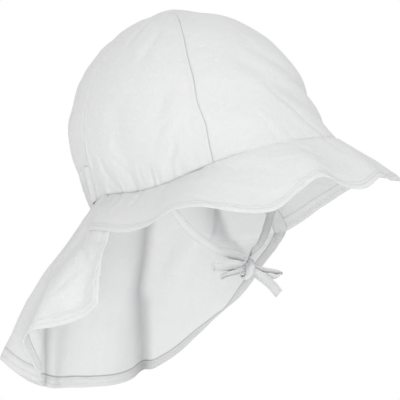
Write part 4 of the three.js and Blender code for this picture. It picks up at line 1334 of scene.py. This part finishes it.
class BuildBow(bpy.types.Operator):
    """Tie the bow"""

    bl_idname = "sun_hat.bow"
    bl_label = "Bow"
    bl_options = {"REGISTER", "UNDO"}

    def execute(self, context):
        s = context.scene.sun_hat_sizes
        bow, tape = BowPlace(s), finishes()[1]
        width, wall = s.tape_width, s.tape_wall * 0.75

        def flat(tangent):
            return np.cross(tangent, bow.facing)

        def deep(tangent):
            return np.broadcast_to(bow.facing + bow.up * 0.75 - bow.along * 0.2, tangent.shape)

        pieces = (
            ("bow_loop_near", "bow_loop_right", flat, 1.08 * width, 190, 30,
             lambda t: 0.42 + 0.58 * smooth(np.minimum(t, 1 - t) / 0.3) - 0.18 * bump(t - 0.5, 0.07),
             lambda t: 10 + 40 * bump(t - 0.15, 0.12)),
            ("bow_end_near", "bow_tail_right", flat, 0.95 * width, 90, 14,
             lambda t: 0.95 - 0.35 * smooth(1 - t / 0.3), lambda t: 84 + 22 * smooth(t / 0.8)),
            ("bow_loop_far", "bow_loop_left", deep, 0.9 * width, 190, 30,
             lambda t: 0.5 + 0.5 * smooth(np.minimum(t, 1 - t) / 0.25), lambda t: 6 + 0 * t),
            ("bow_end_far", "bow_tail_left", flat, 1.16 * width, 90, 6,
             lambda t: 0.55 + 0.45 * smooth(t / 0.3), lambda t: 8 + 20 * smooth(1 - t / 0.5)),
        )
        for k, (name, node, across, wide, steps, clear, pinch, curl) in enumerate(pieces):
            cloth = tape_cloth(bow.run(name), across, pinch, wide, wall, steps, 60 + 3 * k, curl)
            finish_piece(cloth_object(name, *cloth.shell()), tape, "cotton_tape", node)
            sew_tape(cloth, clear, -4)

        def round_knot(tangent):
            return np.broadcast_to(bow.along + bow.up * 0.25, tangent.shape)

        wrap = tape_cloth(bow.run("wrap"), round_knot,
                          lambda t: 0.95 + 0 * t, 1.15 * width, wall, 120, 90,
                          lambda t: 62 + 14 * np.sin(t * 9))
        knot = joined("bow_knot_wrap", [self.core(s, bow), wrap.shell()])
        finish_piece(knot, tape, "cotton_tape", "bow_knot")
        return {"FINISHED"}

    def core(self, s, bow):
        """The soft bundle inside the knot, creased where the tapes cross."""
        u, v = np.meshgrid(np.linspace(0, 1, 73)[:-1], np.linspace(0, 1, 41)[1:-1], indexing="ij")
        around, high = u * 2 * np.pi, v * np.pi
        fold = 1 + 0.1 * np.sin(v * np.pi * 5 + 1.6 * np.cos(around)) + 0.06 * np.sin(3 * around + 5 * v)
        reach = 0.56 * s.knot_size * np.sin(high) ** 0.8 * fold
        middle = bow.at(0.6 * MM, 0, -1.6 * MM)
        p = (middle + bow.along * (reach * np.cos(around))[..., None]
             + bow.facing * (reach * 0.9 * np.sin(around))[..., None]
             + bow.up * (0.7 * s.knot_size * np.cos(high))[..., None]).reshape(-1, 3)
        nu, nv = u.shape
        ring = np.arange(nu * nv).reshape(nu, nv)
        nxt = np.roll(ring, -1, 0)
        faces = np.stack([ring[:, :-1], ring[:, 1:], nxt[:, 1:], nxt[:, :-1]], -1).reshape(-1, 4)
        top, low = nu * nv, nu * nv + 1
        p = np.concatenate([p, [middle + bow.up * 0.7 * s.knot_size, middle - bow.up * 0.7 * s.knot_size]])
        half = np.arange(0, nu, 2)
        caps = [[top, ring[k, 0], nxt[k, 0], nxt[(k + 1) % nu, 0]] for k in half]
        caps += [[low, nxt[(k + 1) % nu, -1], nxt[k, -1], ring[k, -1]] for k in half]
        uv = np.concatenate([np.stack([u * 22, v * 9], -1).reshape(-1, 2), [[0, 0], [0, 9]]])
        return p, np.concatenate([faces, np.array(caps)]), uv, np.zeros(len(p))


class SewHat(bpy.types.Operator):
    """Stitch every seam and hem"""

    bl_idname = "sun_hat.stitches"
    bl_label = "Topstitching"
    bl_options = {"REGISTER", "UNDO"}

    def execute(self, context):
        if not SEWN:
            raise RuntimeError("build the cloth before its stitches")
        thread = finishes()[2]
        for name, lines in SEWN.items():
            stitched(name, [line for line in lines if len(line) > 2], thread)
        SEWN.clear()
        return {"FINISHED"}


class SetStage(bpy.types.Operator):
    """Place the pale floor, the soft light and the camera"""

    bl_idname = "sun_hat.stage"
    bl_label = "Stage"
    bl_options = {"REGISTER", "UNDO"}

    def execute(self, context):
        scene, stage = context.scene, context.scene.sun_hat_stage
        lowest = HAT_BOX[0].z - stage.floor_drop
        mesh = bpy.data.meshes.new("pale_floor")
        wide, corners = stage.floor_radius, 48
        turns = [k * 2 * math.pi / corners for k in range(corners)]
        rim = [(wide * math.cos(turn), wide * math.sin(turn), lowest) for turn in turns]
        mesh.from_pydata(rim, [], [tuple(range(corners))])
        floor = in_scene("pale_floor", mesh)
        mesh.materials.append(plain_material("pale_floor", stage.floor_colour, 0.9))
        back = Vector((math.sin(stage.azimuth) * math.cos(stage.elevation),
                       -math.cos(stage.azimuth) * math.cos(stage.elevation), math.sin(stage.elevation)))
        right = Vector((math.cos(stage.azimuth), math.sin(stage.azimuth), 0))
        up = back.cross(right)
        aim = Vector(stage.aim)
        lens = bpy.data.cameras.new("photo_camera")
        lens.lens, lens.sensor_width, lens.clip_start, lens.clip_end = stage.lens, 36, 0.05, 100
        camera = in_scene("photo_camera", lens)
        turn = Matrix((right, up, back)).transposed().to_4x4()
        camera.matrix_world = Matrix.Translation(aim + back * stage.distance) @ turn
        scene.camera = camera
        for name, place, power, size in (
            ("key_softbox", aim + back * 1.7 - right * 0.06 + Vector((0, 0, -0.3)), stage.key_power, 0.8),
            ("fill_softbox", aim + back * 0.6 + right * 1.6 + Vector((0, 0, 0.5)), stage.fill_power, 1.2),
        ):
            lamp = bpy.data.lights.new(name, "AREA")
            lamp.energy, lamp.size = power, size
            turn = (place - aim).normalized().to_track_quat("Z", "Y").to_matrix().to_4x4()
            in_scene(name, lamp).matrix_world = Matrix.Translation(place) @ turn
        lamp = bpy.data.lights.new("overhead", "SUN")
        lamp.energy, lamp.angle = stage.overhead, math.radians(70)
        in_scene("overhead", lamp)
        world = bpy.data.worlds.new("white_studio")
        world.use_nodes = True
        tree = world.node_tree
        # Even light, a little less from below, in front of a white that the camera alone sees.
        way = add_node(tree, "ShaderNodeTexCoord", {})["Generated"]
        height = add_node(tree, "ShaderNodeSeparateXYZ", {0: way})["Z"]
        room = add_node(tree, "ShaderNodeMapRange", {
            "Value": height, "From Min": -0.4, "From Max": 0.4, "To Min": stage.room_below,
            "To Max": stage.room_light})["Result"]
        ray = add_node(tree, "ShaderNodeLightPath", {})["Is Camera Ray"]
        seen = add_node(tree, "ShaderNodeMapRange", {"Value": ray, "To Min": room, "To Max": 1.0})["Result"]
        feed(tree, tree.nodes["Background"], {"Strength": seen, "Color": (1, 1, 1, 1)})
        scene.world = world
        scene.view_settings.view_transform = "Standard"
        return {"FINISHED"}


class SunHatPanel(bpy.types.Panel):
    """Sizes, looks and build buttons of the sun hat"""

    bl_idname = "VIEW3D_PT_sun_hat"
    bl_label = "Sun Hat"
    bl_space_type = "VIEW_3D"
    bl_region_type = "UI"
    bl_category = "Sun Hat"

    def draw(self, context):
        scene, layout = context.scene, self.layout
        for title, group in (("Sizes", scene.sun_hat_sizes), ("Stitches", scene.sun_hat_stitches),
                             ("Looks", scene.sun_hat_looks), ("Stage", scene.sun_hat_stage)):
            box = layout.box()
            box.label(text=title)
            for name in group.__annotations__:
                box.prop(group, name)
        column = layout.column(align=True)
        for step in STEPS:
            column.operator(step.bl_idname)


STEPS = (SetStage, BuildCrown, BuildBand, BuildBrim, BuildFlap, BuildTies, BuildBow, SewHat)
GROUPS = (
    ("sun_hat_sizes", SunHatSizes),
    ("sun_hat_stitches", SunHatStitches),
    ("sun_hat_looks", SunHatLooks),
    ("sun_hat_stage", SunHatStage),
)


def register():
    for name, group in GROUPS:
        bpy.utils.register_class(group)
        setattr(bpy.types.Scene, name, bpy.props.PointerProperty(type=group))
    for item in STEPS + (SunHatPanel,):
        bpy.utils.register_class(item)


def unregister():
    for item in reversed(STEPS + (SunHatPanel,)):
        bpy.utils.unregister_class(item)
    for name, group in reversed(GROUPS):
        delattr(bpy.types.Scene, name)
        bpy.utils.unregister_class(group)


def main():
    register()
    for step in STEPS:
        family, name = step.bl_idname.split(".")
        getattr(getattr(bpy.ops, family), name)()


if __name__ == "__main__":
    main()
